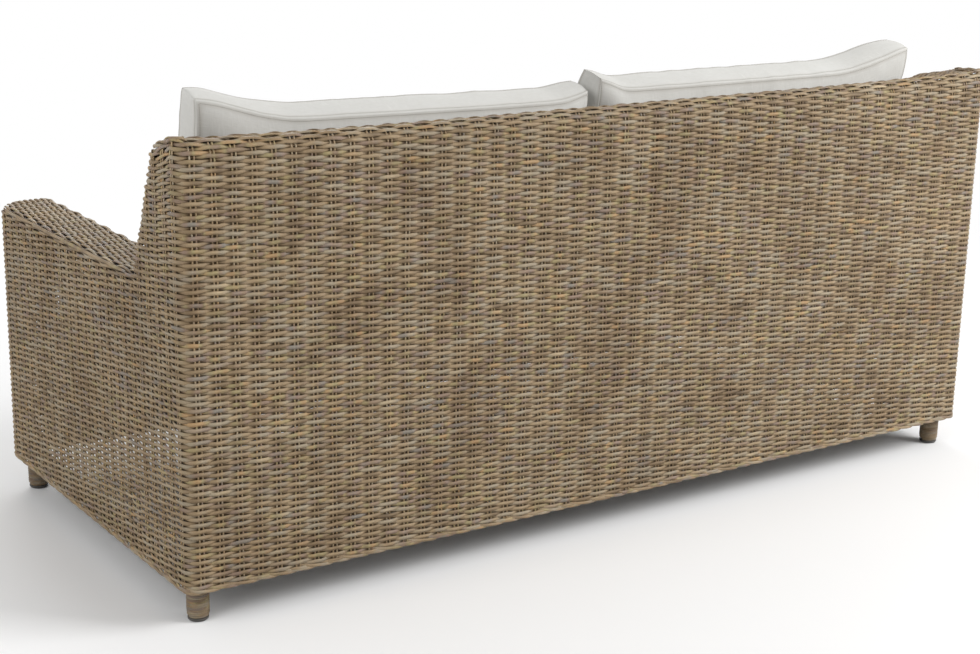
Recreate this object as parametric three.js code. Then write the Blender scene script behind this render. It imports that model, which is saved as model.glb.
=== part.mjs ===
// Rattan garden sofa for two or three: a tubular frame, woven wicker skins over it,
// four wrapped legs on glides, and two seat and two back cushions that lift off.
// Millimetres, +Z up, the seat faces -Y, left is -X. The origin is under the middle of the sofa.
import * as THREE from 'three';

// Driving sizes of the whole sofa
const overallWidth = 1800;
const overallDepth = 812;
const armHeight = 560;
const backRise = 237;
const endRise = 8;
const armWidth = 98;
const armEdgeRadius = 9;
const deckHeight = 305;
const skirtHeight = 65;
const backThickness = 90;
const topDrop = 17;
const recline = THREE.MathUtils.degToRad(21.3);
const topCurvePower = 4;

// Stock that the sofa is made from
const clearance = 0.3;
const skinThickness = 6;
const roundDiameter = 32;
const roundWall = 1.5;
const squareSide = 25;
const squareWall = 1.5;

// Places of the inner frame members
const bearerSpacing = 400;
const stileSpacing = 530;

// Legs, their wrapping and their glides
const legSideInset = 36.5;
const legEndInset = 43.5;
const legDiameter = 29;
const legWall = 2;
const flangeDiameter = 56;
const flangeThickness = 3;
const glideDiameter = 39;
const glideThickness = 6;
const glideChamfer = 2;
const spigotLength = 18;
const strandDiameter = 4.6;
const wrapPitch = 5.2;
const wrapBend = 4;

// Seat cushions
const seatCushion = {
  sideGap: 3,
  middleGap: 1,
  frontSetback: 3,
  rearGap: 8.5,
  boxing: 120,
  topCrown: 16,
  bottomCrown: 0,
  drawIn: 7,
  sideBulge: 4,
  cornerPinch: 3,
};
const pressDepth = 7;
const pressBand = 110;
const pressRampShare = 0.22;

// Back cushions
const backCushion = {
  sideGap: 2,
  middleGap: 1.5,
  riseAboveBack: 45,
  topLeanGap: 47,
  bottomPress: 4,
  boxing: 80,
  topCrown: 34,
  bottomCrown: 30,
  drawIn: 9,
  sideBulge: 3,
  cornerPinch: 12,
  topSag: 42,
  innerEar: 14,
};
const backCushionLean = THREE.MathUtils.degToRad(17);
const outerEarShare = 0.25;
const innerEarShare = 0.11;

// Counts of the facets in the curved shapes
const roundSides = 16;
const latheSides = 20;
const bendSteps = 4;
const topSkinSteps = 12;
const wrapStepsPerTurn = 16;
const wrapBendSteps = 4;
const wrapSides = 5;
const cushionColumns = 14;
const cushionRows = 9;
const crownPower = 4;
const pinchPower = 8;
const boxingRings = 3;
const gapSamples = 8;

// Faces and centre lines that follow from the driving sizes
const halfWidth = overallWidth / 2;
const halfDepth = overallDepth / 2;
const backHeight = armHeight + backRise;
const endHeight = backHeight + endRise;
const roundRadius = roundDiameter / 2;
const bendInner = roundRadius + clearance;
const bendOuter = bendInner + skinThickness;
const skinInnerX = halfWidth - skinThickness;
const skinInnerY = halfDepth - skinThickness;
const postX = halfWidth - bendOuter;
const postY = halfDepth - bendOuter;
const armInnerX = halfWidth - armWidth;
const armInnerWallX = armInnerX + skinThickness;
const innerPostX = armInnerX + bendOuter;
const armRailZ = armHeight - bendOuter;
const armEdgeZ = armHeight - armEdgeRadius;
const seatRailZ = deckHeight - bendOuter;
const topRailZ = backHeight - bendOuter;
const topFrontRailZ = topRailZ - topDrop;
const frameBaseZ = skirtHeight + flangeThickness + clearance;
const strutBaseZ = frameBaseZ + squareSide + clearance;
const underDeckZ = deckHeight - skinThickness - clearance;
const topFrontRailY = slopeY(topFrontRailZ) + bendOuter / Math.cos(recline);
const topTilt = Math.atan2(topDrop, postY - topFrontRailY);
const slopeGap = clearance / Math.cos(recline);
const skinInnerSlope = skinThickness / Math.cos(recline);
const tangentZ = topFrontRailZ + bendOuter * Math.sin(recline);
const legX = halfWidth - legSideInset;
const legY = halfDepth - legEndInset;

const xAxis = new THREE.Vector3(1, 0, 0);
const yAxis = new THREE.Vector3(0, 1, 0);
const zAxis = new THREE.Vector3(0, 0, 1);
const sides = [
  { name: 'left', sign: -1 },
  { name: 'right', sign: 1 },
];

const sofa = new THREE.Group();

// Y of the back's sloping front face at a height
function slopeY(z) {
  return halfDepth - backThickness - (endHeight - z) * Math.tan(recline);
}

// How far the top of the back rises above its middle, at a distance along the sofa
function topRise(x) {
  return endRise * Math.pow(Math.abs(x) / halfWidth, topCurvePower);
}

function lifted(z, x) {
  if (z <= tangentZ) {
    return z;
  }
  return z + topRise(x) * (z - tangentZ) / (backHeight - tangentZ);
}

function aluminium() {
  return new THREE.MeshStandardMaterial({ color: 0x4b4036, roughness: 0.5, metalness: 0.6 });
}

function wicker() {
  return new THREE.MeshStandardMaterial({ color: 0x8d7c62, roughness: 0.7, metalness: 0 });
}

function darkPlastic() {
  return new THREE.MeshStandardMaterial({ color: 0x3a3a3a, roughness: 0.6, metalness: 0 });
}

function linen() {
  return new THREE.MeshStandardMaterial({ color: 0xd4d3cc, roughness: 0.95, metalness: 0 });
}

function addMesh(name, geometry, material) {
  const mesh = new THREE.Mesh(geometry, material);
  mesh.name = name;
  sofa.add(mesh);
  return mesh;
}

function arcPoints(centreX, centreY, radius, start, end, steps) {
  const points = [];
  for (let i = 0; i <= steps; i += 1) {
    const angle = start + (end - start) * i / steps;
    points.push(new THREE.Vector2(
      centreX + radius * Math.cos(angle),
      centreY + radius * Math.sin(angle),
    ));
  }
  return points;
}

function ring(radius) {
  const points = [];
  for (let i = 0; i < roundSides; i += 1) {
    const angle = 2 * Math.PI * i / roundSides;
    points.push(new THREE.Vector2(radius * Math.cos(angle), radius * Math.sin(angle)));
  }
  return points;
}

function square(side) {
  const half = side / 2;
  return [
    new THREE.Vector2(-half, -half),
    new THREE.Vector2(half, -half),
    new THREE.Vector2(half, half),
    new THREE.Vector2(-half, half),
  ];
}

function hollowSection(outline, bore) {
  const section = new THREE.Shape(outline);
  section.holes.push(new THREE.Path(bore));
  return section;
}

const roundSection = hollowSection(ring(roundRadius), ring(roundRadius - roundWall));
const squareSection = hollowSection(square(squareSide), square(squareSide - 2 * squareWall));

// An open tube from one centre point to another. A level foot is cut to stand flat on a rail.
function addTube(name, section, from, to, levelFoot = false) {
  const run = new THREE.Vector3().subVectors(to, from);
  const geometry = new THREE.ExtrudeGeometry(section, { depth: run.length(), bevelEnabled: false });
  if (levelFoot) {
    const positions = geometry.attributes.position;
    for (let i = 0; i < positions.count; i += 1) {
      if (positions.getZ(i) === 0) {
        positions.setZ(i, positions.getY(i) * Math.tan(recline));
      }
    }
    geometry.computeVertexNormals();
  }
  const mesh = addMesh(name, geometry, aluminium());
  mesh.position.copy(from);
  mesh.quaternion.setFromUnitVectors(zAxis, run.normalize());
}

function point(x, y, z) {
  return new THREE.Vector3(x, y, z);
}

// A plate whose outline lies in the YZ plane, extruded along +X from a start
function addAlongX(name, outline, startX, length, steps = 1) {
  const settings = { depth: length, steps, bevelEnabled: false };
  const geometry = new THREE.ExtrudeGeometry(new THREE.Shape(outline), settings);
  const mesh = addMesh(name, geometry, wicker());
  mesh.position.x = startX;
  mesh.quaternion.setFromRotationMatrix(new THREE.Matrix4().makeBasis(yAxis, zAxis, xAxis));
  return mesh;
}

// A plate whose outline lies in the XZ plane, extruded towards the front from a start
function addTowardsFront(name, outline, startY, length) {
  const settings = { depth: length, bevelEnabled: false };
  const geometry = new THREE.ExtrudeGeometry(new THREE.Shape(outline), settings);
  const mesh = addMesh(name, geometry, wicker());
  const front = yAxis.clone().negate();
  mesh.position.y = startY;
  mesh.quaternion.setFromRotationMatrix(new THREE.Matrix4().makeBasis(xAxis, zAxis, front));
  return mesh;
}

function addPosts() {
  const armPostTop = armRailZ - bendInner;
  const rearPostTop = topRailZ - bendInner;
  for (const side of sides) {
    const outerX = side.sign * postX;
    const innerX = side.sign * innerPostX;
    addTube(`rear_post_${side.name}`, roundSection,
      point(outerX, postY, frameBaseZ), point(outerX, postY, rearPostTop));
    addTube(`front_post_${side.name}`, roundSection,
      point(outerX, -postY, frameBaseZ), point(outerX, -postY, armPostTop));
    addTube(`front_inner_post_${side.name}`, roundSection,
      point(innerX, -postY, strutBaseZ), point(innerX, -postY, armPostTop));
  }
}

const squareCentreY = skinInnerY - clearance - squareSide / 2;

function addRearStruts() {
  const top = topRailZ - bendInner;
  const places = [['left', -innerPostX], ['centre', 0], ['right', innerPostX]];
  for (const [name, x] of places) {
    addTube(`rear_strut_${name}`, squareSection,
      point(x, squareCentreY, strutBaseZ), point(x, squareCentreY, top));
  }
}

function addArmRails() {
  const frontEnd = -(skinInnerY - clearance);
  const outerEnd = postY - bendInner;
  const innerEnd = squareCentreY - squareSide / 2 - clearance;
  for (const side of sides) {
    addTube(`arm_outer_rail_${side.name}`, roundSection,
      point(side.sign * postX, frontEnd, armRailZ), point(side.sign * postX, outerEnd, armRailZ));
    addTube(`arm_inner_rail_${side.name}`, roundSection,
      point(side.sign * innerPostX, frontEnd, armRailZ),
      point(side.sign * innerPostX, innerEnd, armRailZ));
  }
}

// The wing posts lean with the back, from the outer arm rail up to the top front rail
function addWingPosts() {
  const footZ = armRailZ + roundRadius + clearance + roundRadius * Math.sin(recline);
  const footY = slopeY(footZ) + bendOuter / Math.cos(recline);
  const headZ = topFrontRailZ - bendInner * Math.cos(recline);
  const headY = topFrontRailY - bendInner * Math.sin(recline);
  for (const side of sides) {
    addTube(`wing_post_${side.name}`, roundSection,
      point(side.sign * postX, footY, footZ), point(side.sign * postX, headY, headZ));
  }
}

function addBottomRails() {
  const railZ = frameBaseZ + squareSide / 2;
  const endX = postX - bendInner;
  const endY = postY - bendInner;
  const railX = skinInnerX - clearance - squareSide / 2;
  addTube('rear_bottom_rail', squareSection,
    point(-endX, squareCentreY, railZ), point(endX, squareCentreY, railZ));
  addTube('front_bottom_rail', squareSection,
    point(-endX, -squareCentreY, railZ), point(endX, -squareCentreY, railZ));
  for (const side of sides) {
    addTube(`${side.name}_bottom_rail`, squareSection,
      point(side.sign * railX, -endY, railZ), point(side.sign * railX, endY, railZ));
  }
}

const sideRailInnerX = armInnerWallX - squareSide / 2;
const seatRearRailY = slopeY(deckHeight) + skinInnerSlope + clearance + squareSide / 2;

function addSeatFrame() {
  const supportZ = underDeckZ - squareSide / 2;
  const frontEnd = -(postY - bendInner);
  const sideRearEnd = squareCentreY - squareSide / 2 - clearance;
  const bearerRearEnd = seatRearRailY - squareSide / 2 - clearance;
  const frontRailEnd = innerPostX - bendInner;
  const rearRailEnd = sideRailInnerX - clearance;
  const rearRailZ = deckHeight - squareSide / 2;
  addTube('seat_front_rail', roundSection,
    point(-frontRailEnd, -postY, seatRailZ), point(frontRailEnd, -postY, seatRailZ));
  addTube('seat_rear_rail', squareSection,
    point(-rearRailEnd, seatRearRailY, rearRailZ), point(rearRailEnd, seatRearRailY, rearRailZ));
  for (const side of sides) {
    addTube(`seat_side_rail_${side.name}`, squareSection,
      point(side.sign * armInnerWallX, frontEnd, supportZ),
      point(side.sign * armInnerWallX, sideRearEnd, supportZ));
  }
  const places = [['left', -bearerSpacing], ['centre', 0], ['right', bearerSpacing]];
  for (const [name, x] of places) {
    addTube(`seat_bearer_${name}`, squareSection,
      point(x, frontEnd, supportZ), point(x, bearerRearEnd, supportZ));
  }
  addTube('apron_strut', squareSection,
    point(0, -squareCentreY, strutBaseZ), point(0, -squareCentreY, seatRailZ - bendInner));
}

function addBackFrame() {
  addTube('top_rear_rail', roundSection,
    point(-postX, postY, topRailZ), point(postX, postY, topRailZ));
  const frontRailEnd = skinInnerX - clearance;
  addTube('top_front_rail', roundSection,
    point(-frontRailEnd, topFrontRailY, topFrontRailZ),
    point(frontRailEnd, topFrontRailY, topFrontRailZ));
  const footZ = deckHeight + clearance;
  const behindSlope = (skinThickness + clearance + squareSide / 2) / Math.cos(recline);
  const footY = slopeY(footZ) + behindSlope;
  const stileDepth = skinThickness + clearance + squareSide / 2 - bendOuter;
  const headZ = topFrontRailZ - bendInner * Math.cos(recline) - stileDepth * Math.sin(recline);
  const headY = slopeY(headZ) + behindSlope;
  const places = [['left', -stileSpacing], ['centre', 0], ['right', stileSpacing]];
  for (const [name, x] of places) {
    addTube(`back_stile_${name}`, squareSection, point(x, footY, footZ), point(x, headY, headZ), true);
  }
}

// The rear skin is one woven panel that turns round both rear posts
function addRearSkin() {
  const quarter = Math.PI / 2;
  const outline = [
    ...arcPoints(postX, postY, bendOuter, 0, quarter, bendSteps),
    ...arcPoints(-postX, postY, bendOuter, quarter, 2 * quarter, bendSteps),
    ...arcPoints(-postX, postY, bendInner, 2 * quarter, quarter, bendSteps),
    ...arcPoints(postX, postY, bendInner, quarter, 0, bendSteps),
  ];
  const height = topRailZ - clearance - skirtHeight;
  const settings = { depth: height, bevelEnabled: false };
  const geometry = new THREE.ExtrudeGeometry(new THREE.Shape(outline), settings);
  const mesh = addMesh('rear_skin', geometry, wicker());
  mesh.position.z = skirtHeight;
}

// Section of the back's top in the YZ plane, from the rear face over both rails to the slope. It
// falls a little from the rear rail to the front one.
function archPoints(radius) {
  const quarter = Math.PI / 2;
  const crest = quarter + topTilt;
  return [
    ...arcPoints(postY, topRailZ, radius, 0, quarter, bendSteps),
    ...arcPoints(postY, topRailZ, radius, quarter, crest, 1).slice(1),
    ...arcPoints(topFrontRailY, topFrontRailZ, radius, crest, Math.PI - recline, bendSteps),
  ];
}

// The arm's top from the outer edge to the inner one, with both edges rounded
function armTopPoints(radius) {
  const quarter = Math.PI / 2;
  return [
    ...arcPoints(halfWidth - armEdgeRadius, armEdgeZ, radius, 0, quarter, bendSteps),
    ...arcPoints(armInnerX + armEdgeRadius, armEdgeZ, radius, quarter, 2 * quarter, bendSteps),
  ];
}

function addSideSkins() {
  const frontY = -(skinInnerY - clearance);
  const rearY = postY - clearance;
  const armSeamZ = armEdgeZ - clearance;
  const arch = archPoints(bendOuter).map((p) => new THREE.Vector2(p.x, lifted(p.y, halfWidth)));
  const outline = [
    new THREE.Vector2(frontY, skirtHeight),
    new THREE.Vector2(rearY, skirtHeight),
    new THREE.Vector2(rearY, topRailZ),
    ...arch,
    new THREE.Vector2(slopeY(armSeamZ), armSeamZ),
    new THREE.Vector2(frontY, armSeamZ),
  ];
  addAlongX('side_skin_left', outline, -halfWidth, skinThickness);
  addAlongX('side_skin_right', outline, skinInnerX, skinThickness);
}

// Each arm is wrapped over its two rails and down its inner face, and meets the back's slope
function addArmSkins() {
  const footZ = deckHeight + clearance;
  const rearY = slopeY(armHeight) - slopeGap;
  const length = rearY + skinInnerY - clearance;
  const profile = [
    ...armTopPoints(armEdgeRadius),
    new THREE.Vector2(armInnerX, footZ),
    new THREE.Vector2(armInnerWallX, footZ),
    ...armTopPoints(armEdgeRadius - skinThickness).reverse(),
  ];
  for (const side of sides) {
    const outline = profile.map((p) => new THREE.Vector2(side.sign * p.x, p.y));
    const mesh = addTowardsFront(`arm_skin_${side.name}`, outline, rearY, length);
    const positions = mesh.geometry.attributes.position;
    for (let i = 0; i < positions.count; i += 1) {
      if (positions.getZ(i) === 0) {
        positions.setZ(i, (armHeight - positions.getY(i)) * Math.tan(recline));
      }
    }
    mesh.geometry.computeVertexNormals();
  }
}

function addArmFronts() {
  const profile = [
    new THREE.Vector2(armInnerX, skirtHeight),
    new THREE.Vector2(halfWidth, skirtHeight),
    ...armTopPoints(armEdgeRadius),
  ];
  for (const side of sides) {
    const outline = profile.map((p) => new THREE.Vector2(side.sign * p.x, p.y));
    addTowardsFront(`arm_front_${side.name}`, outline, -skinInnerY, skinThickness);
  }
}

// The apron rises from the skirt and turns over the seat's front rail to meet the deck
function addApronAndDeck() {
  const quarter = Math.PI / 2;
  const apronEndX = armInnerX - clearance;
  const apronOutline = [
    new THREE.Vector2(-skinInnerY, skirtHeight),
    ...arcPoints(-postY, seatRailZ, bendInner, 2 * quarter, quarter, bendSteps),
    ...arcPoints(-postY, seatRailZ, bendOuter, quarter, 2 * quarter, bendSteps),
    new THREE.Vector2(-halfDepth, skirtHeight),
  ];
  addAlongX('apron_skin', apronOutline, -apronEndX, 2 * apronEndX);
  const frontY = clearance - postY;
  const rearY = slopeY(deckHeight) + skinInnerSlope;
  const deckBase = deckHeight - skinThickness;
  const deckOutline = [
    new THREE.Vector2(frontY, deckBase),
    new THREE.Vector2(rearY, deckBase),
    new THREE.Vector2(rearY, deckHeight),
    new THREE.Vector2(frontY, deckHeight),
  ];
  addAlongX('seat_deck', deckOutline, -armInnerWallX, 2 * armInnerWallX);
}

// The sloping front of the back: narrow between the arms, full width above them, cut level
// where it stands on the deck
function addBackFront() {
  const foot = point(0, slopeY(deckHeight + clearance), deckHeight + clearance);
  const upSlope = point(0, Math.sin(recline), Math.cos(recline));
  const outwards = point(0, -Math.cos(recline), Math.sin(recline));
  const wideStart = (armHeight - deckHeight) / Math.cos(recline);
  const top = (tangentZ - foot.z) / Math.cos(recline) - clearance;
  const narrowX = armInnerX - clearance;
  const wideX = skinInnerX - clearance;
  const outline = [
    new THREE.Vector2(-narrowX, 0),
    new THREE.Vector2(narrowX, 0),
    new THREE.Vector2(narrowX, wideStart),
    new THREE.Vector2(wideX, wideStart),
    new THREE.Vector2(wideX, top),
    new THREE.Vector2(-wideX, top),
    new THREE.Vector2(-wideX, wideStart),
    new THREE.Vector2(-narrowX, wideStart),
  ];
  const settings = { depth: skinThickness, bevelEnabled: false };
  const geometry = new THREE.ExtrudeGeometry(new THREE.Shape(outline), settings);
  geometry.translate(0, 0, -skinThickness);
  const positions = geometry.attributes.position;
  for (let i = 0; i < positions.count; i += 1) {
    if (positions.getY(i) === 0) {
      positions.setY(i, -positions.getZ(i) * Math.tan(recline));
    }
  }
  geometry.computeVertexNormals();
  const mesh = addMesh('back_front_skin', geometry, wicker());
  mesh.position.copy(foot);
  mesh.quaternion.setFromRotationMatrix(new THREE.Matrix4().makeBasis(xAxis, upSlope, outwards));
}

// The top of the back turns over both top rails and rises a little towards its ends
function addBackTop() {
  const outline = [...archPoints(bendOuter), ...archPoints(bendInner).reverse()];
  const endX = skinInnerX - clearance;
  const mesh = addAlongX('back_top_skin', outline, -endX, 2 * endX, topSkinSteps);
  const positions = mesh.geometry.attributes.position;
  for (let i = 0; i < positions.count; i += 1) {
    positions.setY(i, lifted(positions.getY(i), positions.getZ(i) - endX));
  }
  mesh.geometry.computeVertexNormals();
}

function addLathe(name, profile, x, y, material) {
  const mesh = addMesh(name, new THREE.LatheGeometry(profile, latheSides), material);
  mesh.position.set(x, y, 0);
  mesh.rotation.x = Math.PI / 2;
}

const legRadius = legDiameter / 2;
const legBore = legRadius - legWall;
const legFootZ = glideThickness + clearance;

function legProfile() {
  const flangeTop = skirtHeight + flangeThickness;
  return [
    new THREE.Vector2(legBore, legFootZ),
    new THREE.Vector2(legRadius, legFootZ),
    new THREE.Vector2(legRadius, skirtHeight),
    new THREE.Vector2(flangeDiameter / 2, skirtHeight),
    new THREE.Vector2(flangeDiameter / 2, flangeTop),
    new THREE.Vector2(legBore, flangeTop),
    new THREE.Vector2(legBore, legFootZ),
  ];
}

function glideProfile() {
  const spigotRadius = legBore - clearance;
  const spigotTop = glideThickness + spigotLength;
  return [
    new THREE.Vector2(0, 0),
    new THREE.Vector2(glideDiameter / 2 - glideChamfer, 0),
    new THREE.Vector2(glideDiameter / 2, glideChamfer),
    new THREE.Vector2(glideDiameter / 2, glideThickness),
    new THREE.Vector2(spigotRadius, glideThickness),
    new THREE.Vector2(spigotRadius, spigotTop),
    new THREE.Vector2(0, spigotTop),
  ];
}

// Centre line of the strand round a leg, as distances along the turn and heights:
// straight up from the glide, a bend into the winding, and a bend out of it up to the flange
function wrapLine() {
  const low = legFootZ;
  const high = skirtHeight - clearance;
  const radius = wrapRadius();
  const climb = Math.atan(wrapPitch / (2 * Math.PI * radius));
  const turn = Math.PI / 2 - climb;
  const line = [[0, low]];
  const startZ = low + strandDiameter;
  for (let i = 0; i <= wrapBendSteps; i += 1) {
    const angle = turn * i / wrapBendSteps;
    line.push([wrapBend * (1 - Math.cos(angle)), startZ + wrapBend * Math.sin(angle)]);
  }
  const [firstRun, firstZ] = line[line.length - 1];
  const lastZ = high - strandDiameter - wrapBend * Math.sin(turn);
  const runLength = (lastZ - firstZ) / Math.tan(climb);
  const steps = Math.round(wrapStepsPerTurn * runLength / (2 * Math.PI * radius));
  for (let i = 1; i <= steps; i += 1) {
    line.push([firstRun + runLength * i / steps, firstZ + (lastZ - firstZ) * i / steps]);
  }
  const lastRun = firstRun + runLength;
  const bendWidth = wrapBend * (1 - Math.cos(turn));
  for (let i = wrapBendSteps - 1; i >= 0; i -= 1) {
    const angle = turn * i / wrapBendSteps;
    const back = wrapBend * (1 - Math.cos(angle));
    line.push([lastRun + bendWidth - back, high - strandDiameter - wrapBend * Math.sin(angle)]);
  }
  line.push([lastRun + bendWidth, high]);
  return line;
}

// The strand's facets stay clear of the leg, so its centre line lies a little further out
function wrapRadius() {
  return (legRadius + clearance + strandDiameter / 2) / Math.cos(Math.PI / wrapStepsPerTurn);
}

function onLeg(run, z) {
  const radius = wrapRadius();
  const angle = run / radius;
  return point(radius * Math.cos(angle), radius * Math.sin(angle), z);
}

function wrapGeometry() {
  const centres = wrapLine().map(([run, z]) => onLeg(run, z));
  const vertices = [];
  const indices = [];
  centres.forEach((centre, i) => {
    const before = centres[Math.max(i - 1, 0)];
    const after = centres[Math.min(i + 1, centres.length - 1)];
    const atEnd = i === 0 || i === centres.length - 1;
    const along = atEnd ? zAxis.clone() : after.clone().sub(before).normalize();
    const radial = point(centre.x, centre.y, 0).normalize();
    radial.addScaledVector(along, -radial.dot(along)).normalize();
    const across = new THREE.Vector3().crossVectors(along, radial);
    for (let k = 0; k < wrapSides; k += 1) {
      const angle = 2 * Math.PI * k / wrapSides;
      const corner = centre.clone();
      corner.addScaledVector(radial, strandDiameter / 2 * Math.cos(angle));
      corner.addScaledVector(across, strandDiameter / 2 * Math.sin(angle));
      vertices.push(corner.x, corner.y, corner.z);
    }
  });
  for (let i = 0; i + 1 < centres.length; i += 1) {
    for (let k = 0; k < wrapSides; k += 1) {
      const a = i * wrapSides + k;
      const b = i * wrapSides + (k + 1) % wrapSides;
      indices.push(a, b, b + wrapSides, a, b + wrapSides, a + wrapSides);
    }
  }
  const last = (centres.length - 1) * wrapSides;
  for (let k = 1; k + 1 < wrapSides; k += 1) {
    indices.push(0, k + 1, k);
    indices.push(last, last + k, last + k + 1);
  }
  const geometry = new THREE.BufferGeometry();
  geometry.setAttribute('position', new THREE.Float32BufferAttribute(vertices, 3));
  geometry.setIndex(indices);
  geometry.computeVertexNormals();
  return geometry;
}

// Least gap of the winding to itself, between points at least half a turn apart
function wrapSelfGap() {
  const line = wrapLine();
  const samples = [];
  for (let i = 0; i + 1 < line.length; i += 1) {
    for (let k = 0; k < gapSamples; k += 1) {
      const share = k / gapSamples;
      const run = line[i][0] + (line[i + 1][0] - line[i][0]) * share;
      const z = line[i][1] + (line[i + 1][1] - line[i][1]) * share;
      samples.push({ run, place: onLeg(run, z) });
    }
  }
  const apart = Math.PI * wrapRadius();
  let least = Infinity;
  for (let i = 0; i < samples.length; i += 1) {
    for (let k = i + 1; k < samples.length; k += 1) {
      if (samples[k].run - samples[i].run > apart) {
        least = Math.min(least, samples[i].place.distanceTo(samples[k].place));
      }
    }
  }
  return least - strandDiameter;
}

function addLegs() {
  const ends = [['front', -legY], ['rear', legY]];
  for (const [end, y] of ends) {
    for (const side of sides) {
      const x = side.sign * legX;
      const place = `${end}_${side.name}`;
      addLathe(`leg_${place}`, legProfile(), x, y, aluminium());
      addLathe(`glide_${place}`, glideProfile(), x, y, darkPlastic());
      const wrap = addMesh(`leg_wrap_${place}`, wrapGeometry(), wicker());
      wrap.position.set(x, y, 0);
    }
  }
  console.log(`leg winding: least gap to itself ${wrapSelfGap().toFixed(2)} mm`);
}

function smoothShare(share) {
  const t = Math.min(Math.max(share, 0), 1);
  return t * t * (3 - 2 * t);
}

// A box cushion: a crowned face on each side of a boxing strip. The boxing bulges halfway and
// the corners are pinched. Local Z is its thickness, and the outline gives X and Y of a point
// that is u of the way to a side and v of the way to an end, each from -1 to 1.
function cushionGeometry(size, outline, place) {
  const vertices = [];
  const indices = [];
  const columns = cushionColumns;
  const rows = cushionRows;
  const push = (x, y, z) => {
    const corner = place(point(x, y, z));
    vertices.push(corner.x, corner.y, corner.z);
    return vertices.length / 3 - 1;
  };
  const pinch = (u, v) => size.cornerPinch * Math.pow(Math.abs(u * v), pinchPower);
  const crown = (u, v) => (1 - Math.pow(u, crownPower)) * (1 - Math.pow(v, crownPower));
  const face = (isTop) => {
    const grid = [];
    for (let j = 0; j <= rows; j += 1) {
      for (let i = 0; i <= columns; i += 1) {
        const u = 2 * i / columns - 1;
        const v = 2 * j / rows - 1;
        const [x, y] = outline(u, v);
        const top = size.boxing - pinch(u, v) + size.topCrown * crown(u, v);
        const bottom = (size.bottomCrown > 0 ? pinch(u, v) : 0) - size.bottomCrown * crown(u, v);
        grid.push(push(x, y, isTop ? top : bottom));
      }
    }
    return grid;
  };
  const topGrid = face(true);
  const bottomGrid = face(false);
  const at = (i, j) => j * (columns + 1) + i;
  for (let j = 0; j < rows; j += 1) {
    for (let i = 0; i < columns; i += 1) {
      const corners = [at(i, j), at(i + 1, j), at(i + 1, j + 1), at(i, j + 1)];
      const [a, b, c, d] = corners;
      indices.push(topGrid[a], topGrid[b], topGrid[c], topGrid[a], topGrid[c], topGrid[d]);
      indices.push(bottomGrid[a], bottomGrid[c], bottomGrid[b]);
      indices.push(bottomGrid[a], bottomGrid[d], bottomGrid[c]);
    }
  }
  const rim = [];
  for (let i = 0; i < columns; i += 1) {
    rim.push([i, 0]);
  }
  for (let j = 0; j < rows; j += 1) {
    rim.push([columns, j]);
  }
  for (let i = columns; i > 0; i -= 1) {
    rim.push([i, rows]);
  }
  for (let j = rows; j > 0; j -= 1) {
    rim.push([0, j]);
  }
  let upper = rim.map(([i, j]) => topGrid[at(i, j)]);
  const lowest = rim.map(([i, j]) => bottomGrid[at(i, j)]);
  for (let ringIndex = 1; ringIndex <= boxingRings; ringIndex += 1) {
    const share = ringIndex / boxingRings;
    const bulge = size.sideBulge * Math.sin(Math.PI * share);
    const lower = ringIndex === boxingRings ? lowest : rim.map(([i, j]) => {
      const u = 2 * i / columns - 1;
      const v = 2 * j / rows - 1;
      const [x, y] = outline(u, v);
      const outX = i === 0 || i === columns ? Math.sign(u) * bulge : 0;
      const outY = j === 0 || j === rows ? Math.sign(v) * bulge : 0;
      const low = size.bottomCrown > 0 ? pinch(u, v) : 0;
      const high = size.boxing - pinch(u, v);
      return push(x + outX, y + outY, high + (low - high) * share);
    });
    for (let k = 0; k < rim.length; k += 1) {
      const next = (k + 1) % rim.length;
      indices.push(upper[k], lower[k], lower[next], upper[k], lower[next], upper[next]);
    }
    upper = lower;
  }
  const geometry = new THREE.BufferGeometry();
  geometry.setAttribute('position', new THREE.Float32BufferAttribute(vertices, 3));
  geometry.setIndex(indices);
  geometry.computeVertexNormals();
  return geometry;
}

const seatBaseZ = deckHeight + clearance;
const seatContactZ = seatBaseZ + seatCushion.boxing + seatCushion.topCrown - pressDepth;

// A seat cushion lies on the deck and against the slope. The back cushion presses its rear flat.
function addSeatCushions() {
  const width = armInnerX - seatCushion.sideGap - seatCushion.middleGap;
  const bodyWidth = width - 2 * seatCushion.sideBulge;
  const frontY = seatCushion.frontSetback - halfDepth;
  const rearY = slopeY(seatContactZ) - seatCushion.rearGap;
  const bodyDepth = rearY - frontY - 2 * seatCushion.sideBulge;
  const centreX = seatCushion.middleGap + width / 2;
  const centreY = (frontY + rearY) / 2;
  const pressFrontY = slopeY(seatContactZ) - pressBand;
  for (const side of sides) {
    const place = (p) => {
      const z = p.z + seatBaseZ;
      const pressedZ = seatContactZ + Math.max(0, pressFrontY - centreY - p.y) * pressRampShare;
      const y = Math.min(p.y, slopeY(z) - slopeGap - centreY);
      return point(p.x, y, Math.min(z, pressedZ));
    };
    const outline = (u, v) => [
      u * (bodyWidth / 2 - seatCushion.drawIn * (1 - v * v)),
      v * (bodyDepth / 2 - seatCushion.drawIn * (1 - u * u)),
    ];
    const geometry = cushionGeometry(seatCushion, outline, place);
    const mesh = addMesh(`seat_cushion_${side.name}`, geometry, linen());
    mesh.position.set(side.sign * centreX, centreY, 0);
  }
}

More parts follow.
